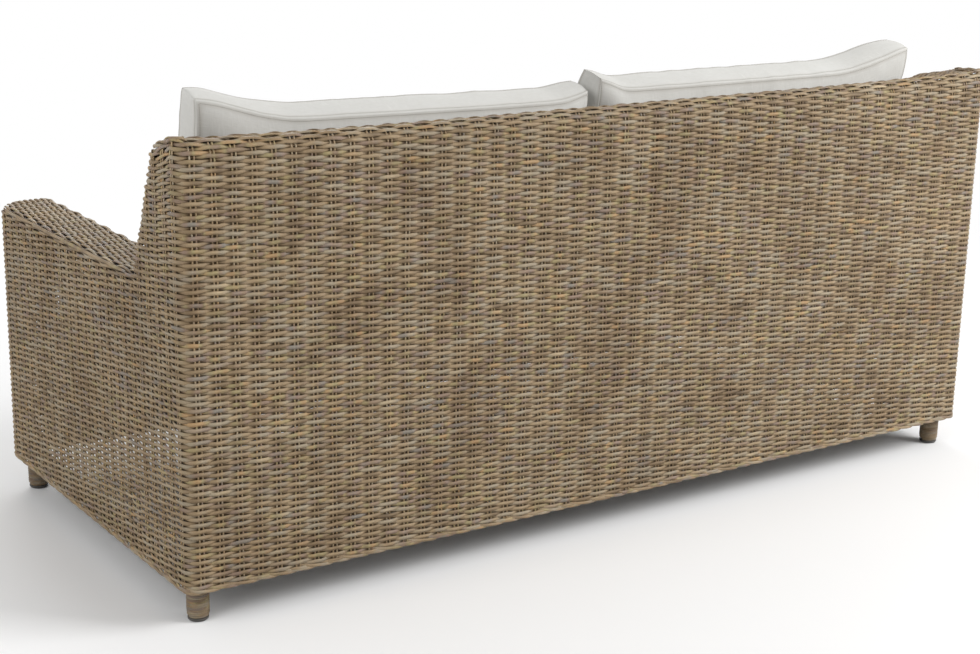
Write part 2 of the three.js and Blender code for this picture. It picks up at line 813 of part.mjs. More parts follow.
// Outline of a back cushion. Its top sags between an outer corner that stands up like an ear and
// a lower inner one. Outward is 1 at the outer side.
function backOutline(bodyWidth, height, outward, v) {
  const size = backCushion;
  const halfSpan = bodyWidth / 2 - size.drawIn * (1 - v * v);
  const upShare = (v + 1) / 2;
  const outShare = (outward + 1) / 2;
  const sag = size.topSag * smoothShare((1 - outShare) / outerEarShare)
    - size.innerEar * (1 - smoothShare(outShare / innerEarShare));
  const top = height / 2 - sag;
  const bottom = size.drawIn * (1 - outward * outward) - height / 2;
  return [outward * halfSpan, upShare * top + (1 - upShare) * bottom];
}

// A back cushion stands on the seat cushion and leans against the slope, flat where it rests
function addBackCushions() {
  const width = armInnerX - backCushion.sideGap - backCushion.middleGap;
  const bodyWidth = width - 2 * backCushion.sideBulge;
  const centreX = backCushion.middleGap + width / 2;
  const up = point(0, Math.sin(backCushionLean), Math.cos(backCushionLean));
  const outwards = point(0, -Math.cos(backCushionLean), Math.sin(backCushionLean));
  const footZ = seatContactZ + clearance;
  const topZ = backHeight + backCushion.riseAboveBack;
  const height = (topZ - footZ) / Math.cos(backCushionLean) + backCushion.bottomPress;
  const centre = point(0, slopeY(topZ) - backCushion.topLeanGap, topZ);
  centre.addScaledVector(up, -height / 2);
  const place = (p) => {
    const world = centre.clone().addScaledVector(up, p.y).addScaledVector(outwards, p.z);
    const z = Math.max(world.z, footZ);
    return point(p.x, Math.min(world.y, slopeY(z) - slopeGap), z);
  };
  for (const side of sides) {
    const outline = (u, v) => {
      const [x, y] = backOutline(bodyWidth, height, side.sign * u, v);
      return [side.sign * x, y];
    };
    const geometry = cushionGeometry(backCushion, outline, place);
    const mesh = addMesh(`back_cushion_${side.name}`, geometry, linen());
    mesh.position.x = side.sign * centreX;
  }
}

addPosts();
addRearStruts();
addArmRails();
addWingPosts();
addBottomRails();
addSeatFrame();
addBackFrame();
addRearSkin();
addSideSkins();
addArmSkins();
addArmFronts();
addApronAndDeck();
addBackFront();
addBackTop();
addLegs();
addSeatCushions();
addBackCushions();

export default sofa;
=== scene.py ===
import math
from types import SimpleNamespace

import bpy
from mathutils import Matrix, Vector, noise
from mathutils.kdtree import KDTree


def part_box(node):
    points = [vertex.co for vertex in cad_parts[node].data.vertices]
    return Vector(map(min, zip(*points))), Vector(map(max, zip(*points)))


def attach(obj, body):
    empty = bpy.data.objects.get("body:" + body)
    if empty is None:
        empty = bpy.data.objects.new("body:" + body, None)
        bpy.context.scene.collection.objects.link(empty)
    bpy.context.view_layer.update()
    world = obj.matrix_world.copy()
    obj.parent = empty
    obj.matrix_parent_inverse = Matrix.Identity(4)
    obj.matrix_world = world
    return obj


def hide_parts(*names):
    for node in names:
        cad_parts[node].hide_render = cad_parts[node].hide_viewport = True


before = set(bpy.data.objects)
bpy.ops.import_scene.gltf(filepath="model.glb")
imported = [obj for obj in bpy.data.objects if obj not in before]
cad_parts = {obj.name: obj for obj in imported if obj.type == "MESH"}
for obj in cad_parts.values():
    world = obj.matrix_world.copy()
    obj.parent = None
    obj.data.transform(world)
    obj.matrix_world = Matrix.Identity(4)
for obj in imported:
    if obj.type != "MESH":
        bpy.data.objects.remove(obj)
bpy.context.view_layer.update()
print("frame loaded:", len(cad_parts), "nodes")

zUp = Vector((0, 0, 1))
rightAngle = math.pi / 2
bothSides = (("left", -1), ("right", 1))
millimetres = 1000.0  # in a metre


def centreOf(node):
    return sum(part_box(node), Vector()) / 2


# places read from the frame, in metres
rearPost = centreOf("rear_post_right")
innerPost = centreOf("front_inner_post_right")
topRail = centreOf("top_rear_rail")
topFrontRail = centreOf("top_front_rail")
seatRail = centreOf("seat_front_rail")
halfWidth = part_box("side_skin_right")[1].x
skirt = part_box("rear_skin")[0].z
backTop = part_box("back_top_skin")[1].z
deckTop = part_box("seat_deck")[1].z
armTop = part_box("arm_skin_right")[1].z
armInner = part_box("arm_skin_right")[0].x
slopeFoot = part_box("back_front_skin")[0]

# the woven skins
weave = {
    "skinThickness": 0.006,  # of the space the skin fills in the frame
    "rowPitch": 0.00535,
    "stakesHalfRear": 26,  # stake spacings from the middle of the rear to the side's tangent
    "stakesHalfRound": 74,  # from the middle of the rear to the middle of the front
    "stakeSpread": 0.0070,  # between the two stakes of a pair
    "stakeWidth": 0.0032,
    "strandHeight": 0.0066,
    "sideStrandHeight": 0.0057,  # the sides are a little open
    "rearStrandHeight": 0.0072,  # the rear is woven closer
    "strandThickness": 0.0034,
    "depth": 0.0025,  # a strand's centre swings this far out and in
    "swingGain": 1.3,  # and stays there, flattened, for part of the way
    "sag": -0.0003,  # a strand rises this much where it passes in front
    "slant": -0.0003,  # and it lies this much askew across the stakes
    "sideSlant": 0.0009,
    "forward": 0.25,  # share of the swing by which the strands bulge to the front
    "unevenness": 0.0010,
    "rowWander": {"scale": 60.0, "shift": 0.37, "times": 4.0},
    "stakeWander": {"scale": 25.0, "shift": 40.0, "times": 5.0},
    "stakeFront": 0.35,  # for its shade a stake counts as this far in front
    "rowsPerPoint": 3.0,  # of a stake
    "taper": 0.20,  # a strand is this share slimmer where it crosses a pair of stakes
    "stakeLift": 0.0007,
    "edgeRadius": 0.005,  # of the arm's upper edges and of the wing's front edge
    "sideTopEdge": 0.001,
    "foldOver": 0.0210,  # the sides' rows go on this far over the top
    "foldDrop": 0.0015,
    "foldRamp": 0.01,
    "leftWingRise": 0.013,  # the left wing's top falls less to the front than the right one's
    "wingRiseFrom": 0.90,  # share of the way from the middle to the arm where that starts
    "wingRiseRamp": 0.10,
    "armFrontRise": 0.006,  # the inner half of the arm's top rises this much to the front
    "recline": math.radians(21.3),
    "endRise": 0.008,  # the ends of the back stand this much above its middle
    "endRisePower": 4,
    "steps": 5,  # points of a row from one pair of stakes to the next
    "seed": 7,
}
bend = halfWidth - rearPost.x  # outer radius round the posts and rails
skinMid = weave["skinThickness"] / 2
turnRadius = bend - skinMid
quarter = turnRadius * rightAngle  # length of a quarter turn round a post
edgeMid = weave["edgeRadius"] - skinMid
edgeQuarter = edgeMid * rightAngle
sideLength = 2 * rearPost.y
frontFace = rearPost.x - innerPost.x
rearHalf = rearPost.x + quarter
stakePitch = rearHalf / weave["stakesHalfRear"]
frontCorner = rearHalf + sideLength
topDepth = rearPost.y - topFrontRail.y
cosRecline = math.cos(weave["recline"])
sinRecline = math.sin(weave["recline"])
tanRecline = math.tan(weave["recline"])
topTilt = math.atan2(topRail.z - topFrontRail.z, topDepth)
slopeTop = topFrontRail.z + bend * sinRecline


def slopeY(z):
    return slopeFoot.y + (z - slopeFoot.z) * tanRecline


def clamp(share):
    return min(max(share, 0), 1)


def smoothShare(share):
    t = clamp(share)
    return t * t * (3 - 2 * t)


# the helpers below add nodes to the tree that was opened last
opened = {}


# a value in a node tree: sums written with it become Math nodes
class Field:
    def __init__(self, socket):
        self.socket = socket

    def __add__(self, other):
        return sumOf("ADD", self, other)

    def __sub__(self, other):
        return sumOf("SUBTRACT", self, other)

    def __rsub__(self, other):
        return sumOf("SUBTRACT", other, self)

    def __mul__(self, other):
        return sumOf("MULTIPLY", self, other)

    def __truediv__(self, other):
        return sumOf("DIVIDE", self, other)


def feed(value, socket):
    if isinstance(value, bpy.types.Node):
        value = value.outputs[0]
    elif isinstance(value, Field):
        value = value.socket
    if isinstance(value, bpy.types.NodeSocket):
        opened["tree"].links.new(value, socket)
    elif value is not None:
        socket.default_value = value


# values go to the inputs in their order, and those in a dictionary by name
def addNode(kind, *values, **settings):
    node = opened["tree"].nodes.new(kind)
    for name, value in settings.items():
        setattr(node, name, value)
    for number, value in enumerate(values):
        for key, part in (value if isinstance(value, dict) else {number: value}).items():
            feed(part, node.inputs[key])
    return node


def field(node, output=0):
    return Field(node.outputs[output])


def sumOf(operation, *values):
    return field(addNode("ShaderNodeMath", *values, operation=operation))


def vectorOf(x, y, z):
    return addNode("ShaderNodeCombineXYZ", x, y, z)


def scaled(vector, factor):
    return addNode("ShaderNodeVectorMath", vector, {"Scale": factor}, operation="SCALE")


def noiseOf(vector, scale, detail=2.0, roughness=0.5):
    sizes = {"Scale": scale, "Detail": detail, "Roughness": roughness}
    return field(addNode("ShaderNodeTexNoise", vector, sizes))


# rowPitch is shown as Row Pitch
def label(name):
    return "".join(" " + c if c.isupper() else c for c in name).title()


# an input is given by its default number, or else by its kind
def newTree(name, kind, inputs, outputs):
    tree = opened["tree"] = bpy.data.node_groups.new(name, kind)
    kinds = {float: "Float", int: "Int"}
    for key, value in inputs.items():
        socketType = "NodeSocket" + kinds.get(type(value), str(value))
        made = tree.interface.new_socket(label(key), in_out="INPUT", socket_type=socketType)
        if type(value) in kinds:
            made.default_value = value
    for key, value in outputs.items():
        tree.interface.new_socket(label(key), in_out="OUTPUT", socket_type="NodeSocket" + value)
    start = tree.nodes.new("NodeGroupInput")
    given = SimpleNamespace(**{key: Field(start.outputs[label(key)]) for key in inputs})
    return given, tree.nodes.new("NodeGroupOutput")


def geometryTree(name, sizes, keys, **inputs):
    chosen = {key: sizes[key] for key in keys.split()}
    return newTree(name, "GeometryNodeTree", {"geometry": "Geometry", **inputs, **chosen},
                   {"geometry": "Geometry"})


def store(geometry, name, value):
    return addNode("GeometryNodeStoreNamedAttribute",
                   {"Geometry": geometry, "Name": name, "Value": value}, data_type="FLOAT")


def named(name, kind="FLOAT"):
    node = addNode("GeometryNodeInputNamedAttribute", {"Name": name}, data_type=kind)
    return field(node, "Attribute")


def onLine(output):
    return field(addNode("GeometryNodeSplineParameter"), output)


# lines of points, one line for each copy, laid out later by line and place on it
def lineBundle(lines, points):
    steps = addNode("GeometryNodeResampleCurve", addNode("GeometryNodeCurvePrimitiveLine"),
                    {"Count": points})
    copies = addNode("GeometryNodeInstanceOnPoints", addNode("GeometryNodePoints", lines),
                     {"Instance": steps})
    return addNode("GeometryNodeRealizeInstances", copies)


def lineNumber():
    number = addNode("GeometryNodeInputIndex")
    return field(addNode("GeometryNodeFieldOnDomain", number, data_type="INT", domain="CURVE"))


def onSheet(sheet, spot, value):
    return addNode("GeometryNodeSampleUVSurface",
                   {"Mesh": sheet, "Value": value, "UV Map": named("sheetUV", "FLOAT_VECTOR"),
                    "Sample UV": spot}, data_type="FLOAT_VECTOR")


# lays a bundle of lines on a sheet: drops what misses it, and lifts the rest off its face
def layOnSheet(bundle, sheet, spot, lift):
    place = onSheet(sheet, spot, addNode("GeometryNodeInputPosition"))
    normal = onSheet(sheet, spot, named("outward", "FLOAT_VECTOR"))
    raised = addNode("ShaderNodeVectorMath", place, scaled(normal, lift))
    moved = addNode("GeometryNodeSetPosition", {"Geometry": bundle, "Position": raised})
    flagged = store(moved, "onSheet", place.outputs["Is Valid"])
    turned = addNode("GeometryNodeSetCurveNormal", flagged, {"Normal": normal}, mode="FREE")
    missed = sumOf("LESS_THAN", named("onSheet"), 0.5)
    return addNode("GeometryNodeDeleteGeometry", turned, missed, domain="POINT")


def sweep(curves, width, thickness, sides, material):
    ring = addNode("GeometryNodeCurvePrimitiveCircle", sides, {"Radius": 1.0})
    half = vectorOf(thickness * 0.5, width * 0.5, 1.0)
    marked = store(ring, "around", onLine("Factor"))
    flat = addNode("GeometryNodeTransform", marked, {"Scale": half})
    tube = addNode("GeometryNodeCurveToMesh", curves, flat, {"Fill Caps": True})
    smooth = addNode("GeometryNodeSetShadeSmooth", tube)
    return addNode("GeometryNodeSetMaterial", smooth, {"Material": material})


def endTree(geometry, end):
    feed(addNode("GeometryNodeRealizeInstances", geometry), end.inputs["Geometry"])


def randomOf(number, seed):
    node = addNode("FunctionNodeRandomValue", {"ID": number, "Seed": seed}, data_type="FLOAT")
    return field(node, 1)


# noise round 0 along a line that differs from one line to the next
def wanderOf(given, size, along, line):
    spot = vectorOf(along, line * size["shift"], given.seed)
    return (noiseOf(spot, size["scale"], 1.0) - 0.5) * (given.unevenness * size["times"])


# strands woven over and under pairs of stakes, on a sheet whose UV map is in metres
def weaveTree():
    given, end = geometryTree(
        "wovenSkin", weave,
        "rowPitch stakeSpread stakeWidth strandHeight strandThickness depth swingGain sag slant "
        "forward taper stakeLift unevenness steps seed",
        stakePitch=stakePitch, base=0.0, firstRow=0, rows=10, firstStake=0, stakes=10, sides=5,
        strand="Material", stake="Material")

    # the strands: one line of points for each row
    rows = lineBundle(given.rows, given.stakes * given.steps + 1)
    rows = store(rows, "row", lineNumber() + given.firstRow)
    stakeNumber = onLine("Index") / given.steps + given.firstStake
    rows = store(rows, "along", stakeNumber * given.stakePitch)
    row, along = named("row"), named("along")
    turn = (along / given.stakePitch + row) * math.pi
    swing = sumOf("COSINE", turn) * given.swingGain + given.forward
    swing = sumOf("MAXIMUM", sumOf("MINIMUM", swing, 1.0), -1.0)
    level = (row + 0.5) * given.rowPitch + given.base
    level = level - swing * given.sag - sumOf("SINE", turn) * given.slant
    level = level + wanderOf(given, weave["rowWander"], along, row)
    # how far in front a strand lies, which sets its painted shade where it passes behind
    rows = store(rows, "front", swing)
    strands = layOnSheet(rows, given.geometry, vectorOf(along, level, 0.0), swing * given.depth)
    strands = store(strands, "tone", randomOf(row, given.seed))
    crossing = sumOf("COSINE", turn) * sumOf("COSINE", turn)
    slim = addNode("GeometryNodeSetCurveRadius", strands, {"Radius": 1.0 - crossing * given.taper})
    strands = sweep(slim, given.strandHeight, given.strandThickness, given.sides, given.strand)

    # the stakes: two lines of points for each pair
    points = sumOf("CEIL", given.rows / weave["rowsPerPoint"]) + 1
    stakes = lineBundle((given.stakes + 1) * 2, points)
    number = lineNumber()
    pair = sumOf("FLOOR", number / 2.0)
    side = number - pair * 2.0 - 0.5
    height = onLine("Factor") * (given.rows * given.rowPitch) + given.firstRow * given.rowPitch
    stakes = store(stakes, "along", height + given.base)
    where = (pair + given.firstStake) * given.stakePitch + side * given.stakeSpread
    stakes = store(stakes, "row", where)
    along, where = named("along"), named("row")
    spot = vectorOf(where + wanderOf(given, weave["stakeWander"], along, where), along, 0.0)
    stakes = layOnSheet(stakes, given.geometry, spot, given.stakeLift)
    stakes = store(stakes, "tone", randomOf(where * millimetres, given.seed))
    stakes = store(stakes, "front", weave["stakeFront"])
    stakes = sweep(stakes, given.stakeWidth, given.stakeWidth, 4, given.stake)
    both = addNode("GeometryNodeJoinGeometry", stakes)
    feed(strands, both.inputs[0])
    endTree(both, end)


# a walk round the sofa seen from above: straight runs and quarter turns to the right
roundRuns = [(rearPost.x, False), (quarter, True), (sideLength, False), (quarter, True),
             (frontFace, False), (quarter, True), (sideLength, False)]


def walkPoint(start, heading, distance, inset):
    x, y = start
    for number, (length, turning) in enumerate(roundRuns):
        part = distance if number == len(roundRuns) - 1 else min(distance, length)
        left = (-math.sin(heading), math.cos(heading))
        if turning:
            radius = length / rightAngle
            middle = (x - left[0] * radius, y - left[1] * radius)
            heading -= part / radius
            left = (-math.sin(heading), math.cos(heading))
            x, y = middle[0] + left[0] * radius, middle[1] + left[1] * radius
        else:
            x += math.cos(heading) * part
            y += math.sin(heading) * part
        distance -= part
        if distance <= 0:
            break
    return x - left[0] * inset, y - left[1] * inset


def roundPoint(distance, inset):
    x, y = walkPoint((0, rearPost.y + turnRadius), 0, abs(distance), inset)
    return math.copysign(x, distance) if distance else x, y


# how far a rounded top edge has turned in and up at a height along the face
def edgeTurn(level, top, radius):
    angle = max(level - top, 0) / radius
    return radius * (1 - math.cos(angle)), min(level, top) + radius * math.sin(angle)


def liftEnds(x, y, z):
    share = clamp((z - slopeTop) / (topRail.z + bend - slopeTop))
    upWing = smoothShare((z - armTop) / (topFrontRail.z - armTop))
    forward = smoothShare((rearPost.y - y) / topDepth)
    leftEnd = smoothShare((-x / armInner - weave["wingRiseFrom"]) / weave["wingRiseRamp"])
    lift = share * weave["endRise"] * abs(x / halfWidth) ** weave["endRisePower"]
    return z + lift + weave["leftWingRise"] * upWing * forward * leftEnd


# the rear turns over the top rail, the sides over a tighter edge, and the corner in between
def topEdge(u):
    share = clamp((abs(u) - rearPost.x) / quarter)
    return share, turnRadius + (weave["sideTopEdge"] - turnRadius) * share


def topTurn(u, v):
    share, radius = topEdge(u)
    top = topRail.z + turnRadius + skinMid * share - radius
    inset, z = edgeTurn(min(v, top + radius * rightAngle), top, radius)
    return min(inset + max(v - top - radius * rightAngle, 0), turnRadius), z


def crownAt(u):
    share, radius = topEdge(u)
    return topRail.z + turnRadius + skinMid * share + radius * (rightAngle - 1)


def rearPlace(u, v):
    inset, z = topTurn(u, v)
    x, y = roundPoint(u, inset)
    return x, y, liftEnds(x, y, z)


# the top of the back falls from its rear rail to its front one
def fallAt(y):
    return min(max(rearPost.y - y, 0), topDepth) * math.tan(topTilt)


# the wing's front edge goes up the slope and over the top front rail
def wingTurn(z):
    y = slopeY(z)
    if z > slopeTop:
        y = topFrontRail.y - math.sqrt(max(bend ** 2 - (z - topFrontRail.z) ** 2, 0))
    return y + weave["edgeRadius"] / cosRecline


# a row of the side wall falls towards the front the more, the nearer it is to the top
def sideRow(v):
    inset, z = topTurn(rearHalf, v)
    share = clamp((v - armTop) / (topRail.z - armTop))
    return inset, z, share, wingTurn(z - share * fallAt(topFrontRail.y))


# the side wall runs forward to the front post, or above the arm to the wing's front edge
def sidePlace(u, v):
    if v <= armEdge:
        return *roundPoint(u, 0), v
    inset, z, share, turnY = sideRow(v)
    z -= weave["foldDrop"] * smoothShare((v - crownAt(rearHalf)) / weave["foldRamp"])
    past = abs(u) - rearHalf - (rearPost.y - turnY)
    x, y = roundPoint(u, inset)
    if past > 0:
        angle = min(past / edgeMid, rightAngle)
        onSlope = max(past - edgeQuarter, 0)
        x = halfWidth - skinMid - inset - edgeMid * (1 - math.cos(angle)) - onSlope
        x = math.copysign(x, u)
        y = turnY - edgeMid / cosRecline * math.sin(angle)
    return x, y, liftEnds(x, y, z - share * fallAt(y))


# the first point of a row at or past a place
def nextPoint(distance, pitch=stakePitch, steps=weave["steps"]):
    return math.ceil(distance / pitch * steps) * pitch / steps


# the rows end a little past the edge, where the arm's or the slope's rows go on
def sideEnd(v):
    if v <= armEdge:
        return nextPoint(frontCorner + quarter)
    return rearHalf + rearPost.y - sideRow(v)[3] + edgeQuarter + stakePitch / weave["steps"]


armEdge = armTop - weave["edgeRadius"]
armCrown = armEdge + edgeQuarter
armFlat = halfWidth - armInner - 2 * weave["edgeRadius"]
armStart = rearHalf + rearPost.y - wingTurn(armTop)


def armRise(x, y):
    inward = smoothShare((halfWidth - abs(x)) / (halfWidth - armInner) * 2)
    return weave["armFrontRise"] * inward * smoothShare((rearPost.y - y) / sideLength)


def armPlace(u, v):
    if v <= armCrown:
        inset, z = edgeTurn(v, armEdge, edgeMid)
        x, y = roundPoint(u, inset)
        return x, y, z + armRise(x, y) * clamp((v - deckTop) / (armEdge - deckTop))
    x = math.copysign(halfWidth - weave["edgeRadius"] - (v - armCrown), u)
    y = rearPost.y - (abs(u) - rearHalf)
    return x, y, armTop - skinMid + armRise(x, y)


# the arm's flat top ends in two rounded corners
def armFlatEnd(v):
    radius = turnRadius - edgeMid
    fromEdge = min(v - armCrown, armCrown + armFlat - v)
    inCorner = max(radius - max(fromEdge, 0), 0)
    return frontCorner + math.sqrt(radius ** 2 - inCorner ** 2)


innerFaceStart = frontCorner + 2 * quarter + frontFace
innerFaceEnd = innerFaceStart + sideLength / 2 + slopeY(armTop) + skinMid


def apronPlace(u, v):
    angle = min(max(v - seatRail.z, 0) / turnRadius, rightAngle)
    past = max(v - seatRail.z - quarter, 0)
    y = -rearPost.y - turnRadius * math.cos(angle) + past
    return u, y, min(v, seatRail.z) + turnRadius * math.sin(angle)


# up the sloping front of the back, over its top front rail and back to the rear one
slopeLength = (topFrontRail.z + turnRadius * sinRecline - slopeFoot.z) / cosRecline
overRail = slopeLength + turnRadius * (rightAngle - topTilt - weave["recline"])
backLength = overRail + topDepth / math.cos(topTilt) + turnRadius * math.tan(topTilt)


def backPlace(u, v):
    if v <= slopeLength:
        rest = slopeLength - v
        y = topFrontRail.y - turnRadius * cosRecline - rest * sinRecline
        z = topFrontRail.z + turnRadius * sinRecline - rest * cosRecline
    else:
        angle = min(weave["recline"] + (v - slopeLength) / turnRadius, rightAngle - topTilt)
        past = max(v - overRail, 0)
        y = topFrontRail.y - turnRadius * math.cos(angle) + past * math.cos(topTilt)
        z = topFrontRail.z + turnRadius * math.sin(angle) + past * math.sin(topTilt)
    return u, y, liftEnds(u, y, z)


def newObject(name, data):
    obj = bpy.data.objects.new(name, data)
    bpy.context.scene.collection.objects.link(obj)
    return obj


def meshObject(name, points, edges, faces, outwards=()):
    mesh = bpy.data.meshes.new(name)
    mesh.from_pydata(points, edges, faces)
    if outwards:
        attribute = mesh.attributes.new("outward", "FLOAT_VECTOR", "POINT")
        attribute.data.foreach_set("vector", [c for o in outwards for c in o])
    return newObject(name, mesh)


# a sheet is a list of fields, each a grid over a range of v whose ends in u may follow v
def sheetMesh(name, place, fields, step=0.005):
    points, outwards, faces, uvs = [], [], [], []
    tiny = 1e-5
    for starts, ends, low, high in fields:
        rows = max(2, math.ceil((high - low) / step))
        widest = max(abs(ends(v) - starts(v)) for v in (low, high))
        columns = max(4, math.ceil(widest / step))
        first = len(points)
        for j in range(rows + 1):
            v = low + (high - low) * j / rows
            for i in range(columns + 1):
                u = starts(v) + (ends(v) - starts(v)) * i / columns
                points.append(Vector(place(u, v)))
                uvs.append((u, v))
                # slopes are taken just inside the field, so that turns at its edges don't count
                vIn = min(max(v, low + 2 * tiny), high - 2 * tiny)
                across = Vector(place(u + tiny, vIn)) - Vector(place(u - tiny, vIn))
                upward = Vector(place(u, vIn + tiny)) - Vector(place(u, vIn - tiny))
                outward = upward.cross(across)
                outwards.append(outward.normalized() if outward.length > tiny ** 2.5 else zUp)
        for j in range(rows):
            for i in range(columns):
                a = first + j * (columns + 1) + i
                faces.append((a, a + 1, a + columns + 2, a + columns + 1))
    obj = meshObject(name, points, [], faces, outwards)
    uvMap = obj.data.uv_layers.new(name="sheetUV")
    for loop in obj.data.loops:
        uvMap.data[loop.index].uv = uvs[loop.vertex_index]
    return obj


def evaluated(obj):
    return obj.evaluated_get(bpy.context.evaluated_depsgraph_get())


def bakeTree(obj, tree, **values):
    modifier = obj.modifiers.new("made", "NODES")
    modifier.node_group = bpy.data.node_groups[tree]
    values = {label(key): value for key, value in values.items()}
    for item in modifier.node_group.interface.items_tree:
        if item.item_type == "SOCKET" and item.in_out == "INPUT" and item.name in values:
            modifier[item.identifier] = values[item.name]
    mesh = bpy.data.meshes.new_from_object(evaluated(obj))
    mesh.name = obj.name
    obj.modifiers.remove(modifier)
    obj.data = mesh


# says which body a finished piece rides on, and hides the frame's pieces it stands for
def declare(piece, body, slot, *nodes):
    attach(piece, body)
    if nodes:
        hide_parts(*nodes)
    print(f"{piece.name}: {len(piece.data.polygons)} faces")


def weaveSkin(name, place, fields, *replaced, base=skirt, pitch=stakePitch, **changes):
    skin = sheetMesh(name, place, fields)
    low = min(f[2] for f in fields)
    high = max(f[3] for f in fields)
    ends = [end(v) for f in fields for end in f[:2] for v in f[2:]]
    firstRow = round((low - base) / weave["rowPitch"])
    firstStake = math.floor(min(ends) / pitch)
    bakeTree(skin, "wovenSkin", base=base, stakePitch=pitch, firstRow=firstRow,
             rows=math.ceil((high - base) / weave["rowPitch"]) - firstRow, firstStake=firstStake,
             stakes=math.ceil(max(ends) / pitch) - firstStake, strand=materials["strand"],
             stake=materials["stake"], **changes)
    declare(skin, "sofa_frame", "wicker", *replaced)


def reach(x):
    return lambda v: -x, lambda v: x


def addWovenSkins():
    weaveTree()
    hair = 1e-5  # a sheet runs this far past its seams, so that the points on them count
    crown = topRail.z + quarter
    sideCrown = crownAt(rearHalf)
    cornerCrown = max(crown, sideCrown)
    bands = ["low", "middle", "high"]
    bandRows = round((crown - skirt) / weave["rowPitch"] / len(bands))
    for number, band in enumerate(bands):
        low = skirt + number * bandRows * weave["rowPitch"]
        high = crown if band == bands[-1] else low + bandRows * weave["rowPitch"]
        weaveSkin(f"rear_weave_{band}", rearPlace, [(*reach(rearHalf + hair), low, high)],
                  "rear_skin", strandHeight=weave["rearStrandHeight"])
    armFirst = nextPoint(frontCorner + quarter)
    armLast = nextPoint(frontCorner + quarter + frontFace + bend)
    for side, sign in bothSides:
        def at(distance, sign=sign):
            return lambda v: sign * (distance(v) if callable(distance) else distance)
        weaveSkin(f"side_weave_{side}", sidePlace, [
            (at(rearHalf - hair), at(lambda v: sideEnd(skirt) + hair), skirt, armEdge - hair),
            (at(rearHalf - hair), at(lambda v: sideEnd(max(v, armEdge + hair))), armEdge + hair,
             slopeTop),
            (at(rearHalf - hair), at(sideEnd), slopeTop, cornerCrown),
            (at(rearPost.x), at(sideEnd), cornerCrown + hair, sideCrown + weave["foldOver"]),
        ], f"side_skin_{side}", strandHeight=weave["sideStrandHeight"], slant=weave["sideSlant"])
        weaveSkin(f"arm_weave_{side}", armPlace, [
            (at(armFirst - hair), at(armLast + hair), skirt, deckTop),
            (at(armFirst - hair), at(innerFaceEnd), deckTop, armEdge),
            (at(armStart), at(innerFaceEnd), armEdge, armCrown),
            (at(armStart), at(armFlatEnd), armCrown + hair, armCrown + armFlat),
        ], f"arm_skin_{side}", f"arm_front_{side}")
    turnStakes = (frontCorner + quarter + frontFace + bend) / stakePitch
    pitch = armInner / (weave["stakesHalfRound"] - turnStakes)
    apronTop = seatRail.z + quarter
    # its rows end in the groove beside the rounded arm
    apronX = nextPoint(armInner, pitch) + pitch / weave["steps"] + hair
    weaveSkin("apron_weave", apronPlace, [(*reach(apronX), skirt, apronTop)], "apron_skin",
              pitch=pitch, strandHeight=weave["rearStrandHeight"])
    deckEnd = apronTop + rearPost.y + slopeY(deckTop)
    weaveSkin("deck_weave", apronPlace, [(*reach(armInner), apronTop, deckEnd)], "seat_deck",
              pitch=pitch, steps=3, sides=4)
    wideX = halfWidth - weave["edgeRadius"]
    wide = reach(wideX + hair)
    pitch = wideX / round(wideX / stakePitch)
    narrow = reach(nextPoint(armInner, pitch, 4) + hair)
    armLevel = slopeLength - (topFrontRail.z + turnRadius * sinRecline - armTop) / cosRecline
    slope = [(*narrow, 0, armLevel), (*wide, armLevel, slopeLength)]
    weaveSkin("back_front_weave", backPlace, slope, "back_front_skin",
              base=0, pitch=pitch, steps=4, sides=4)
    inner = reach(nextPoint(halfWidth - weave["foldOver"], pitch) + hair)
    overTop = overRail + 2 * weave["rowPitch"]
    top = [(*wide, slopeLength, overTop), (*inner, overTop, backLength)]
    weaveSkin("back_top_weave", backPlace, top, "back_top_skin", base=0, pitch=pitch)


# plaited borders: each strand comes out at a stake, crosses the next ones and tucks in behind
border = {
    "span": 2.2,  # in stake spacings
    "rise": 0.0095,
    "lift": 0.0030,
    "tuck": 0.0030,
    "width": 0.0062,
    "thickness": 0.0036,
    "bottomLevel": -0.0012,
    "topLevel": -0.0030,
    "topLift": 0.0050,
    "leastRise": 0.8,  # a strand rises by this share and up to riseSpread more
    "riseSpread": 0.4,
    "tuckPower": 4.0,
    "sink": 0.6,  # of its thickness that a strand goes in towards its end
    "sheetMargin": 0.016,
    "innerMargin": 0.0005,
}


def borderTree():
    given, end = geometryTree(
        "plaitedBorder", {**border, "seed": weave["seed"]},
        "span rise lift tuck width thickness seed", stakePitch=stakePitch, firstStake=0,
        stakes=10, level=0.0, steps=10, sides=6, strand="Material")
    lines = lineBundle(given.stakes, given.steps)
    lines = store(lines, "row", lineNumber() + given.firstStake)
    lines = store(lines, "share", onLine("Factor"))
    number, share = named("row"), named("share")
    lines = store(lines, "along", (number + share * given.span) * given.stakePitch)
    chance = randomOf(number, given.seed)
    uneven = chance * border["riseSpread"] + border["leastRise"]
    level = share * share * given.rise * uneven + given.level
    # out in the middle, in behind the stakes at both ends
    tucked = sumOf("POWER", sumOf("ABSOLUTE", share * 2.0 - 1.0), border["tuckPower"])
    lift = given.lift - tucked * (given.lift + given.tuck)
    lift = lift - share * (given.thickness * border["sink"])
    # the tucked ends take the painted shade of strands behind the stakes
    lines = store(lines, "front", 1.0 - tucked)
    strands = layOnSheet(lines, given.geometry, vectorOf(named("along"), level, 0.0), lift)
    strands = store(strands, "tone", chance)
    endTree(sweep(strands, given.width, given.thickness, given.sides, given.strand), end)


def addBorder(name, place, end, level, low, high, lift=border["lift"]):
    obj = sheetMesh(name, place, [(*reach(end), low, high)], step=0.004)
    first = math.floor(-end / stakePitch) - 1
    bakeTree(obj, "plaitedBorder", firstStake=first, stakes=math.ceil(end / stakePitch) - first,
             level=level, lift=lift, strand=materials["strand"])
    declare(obj, "sofa_frame", "wicker")


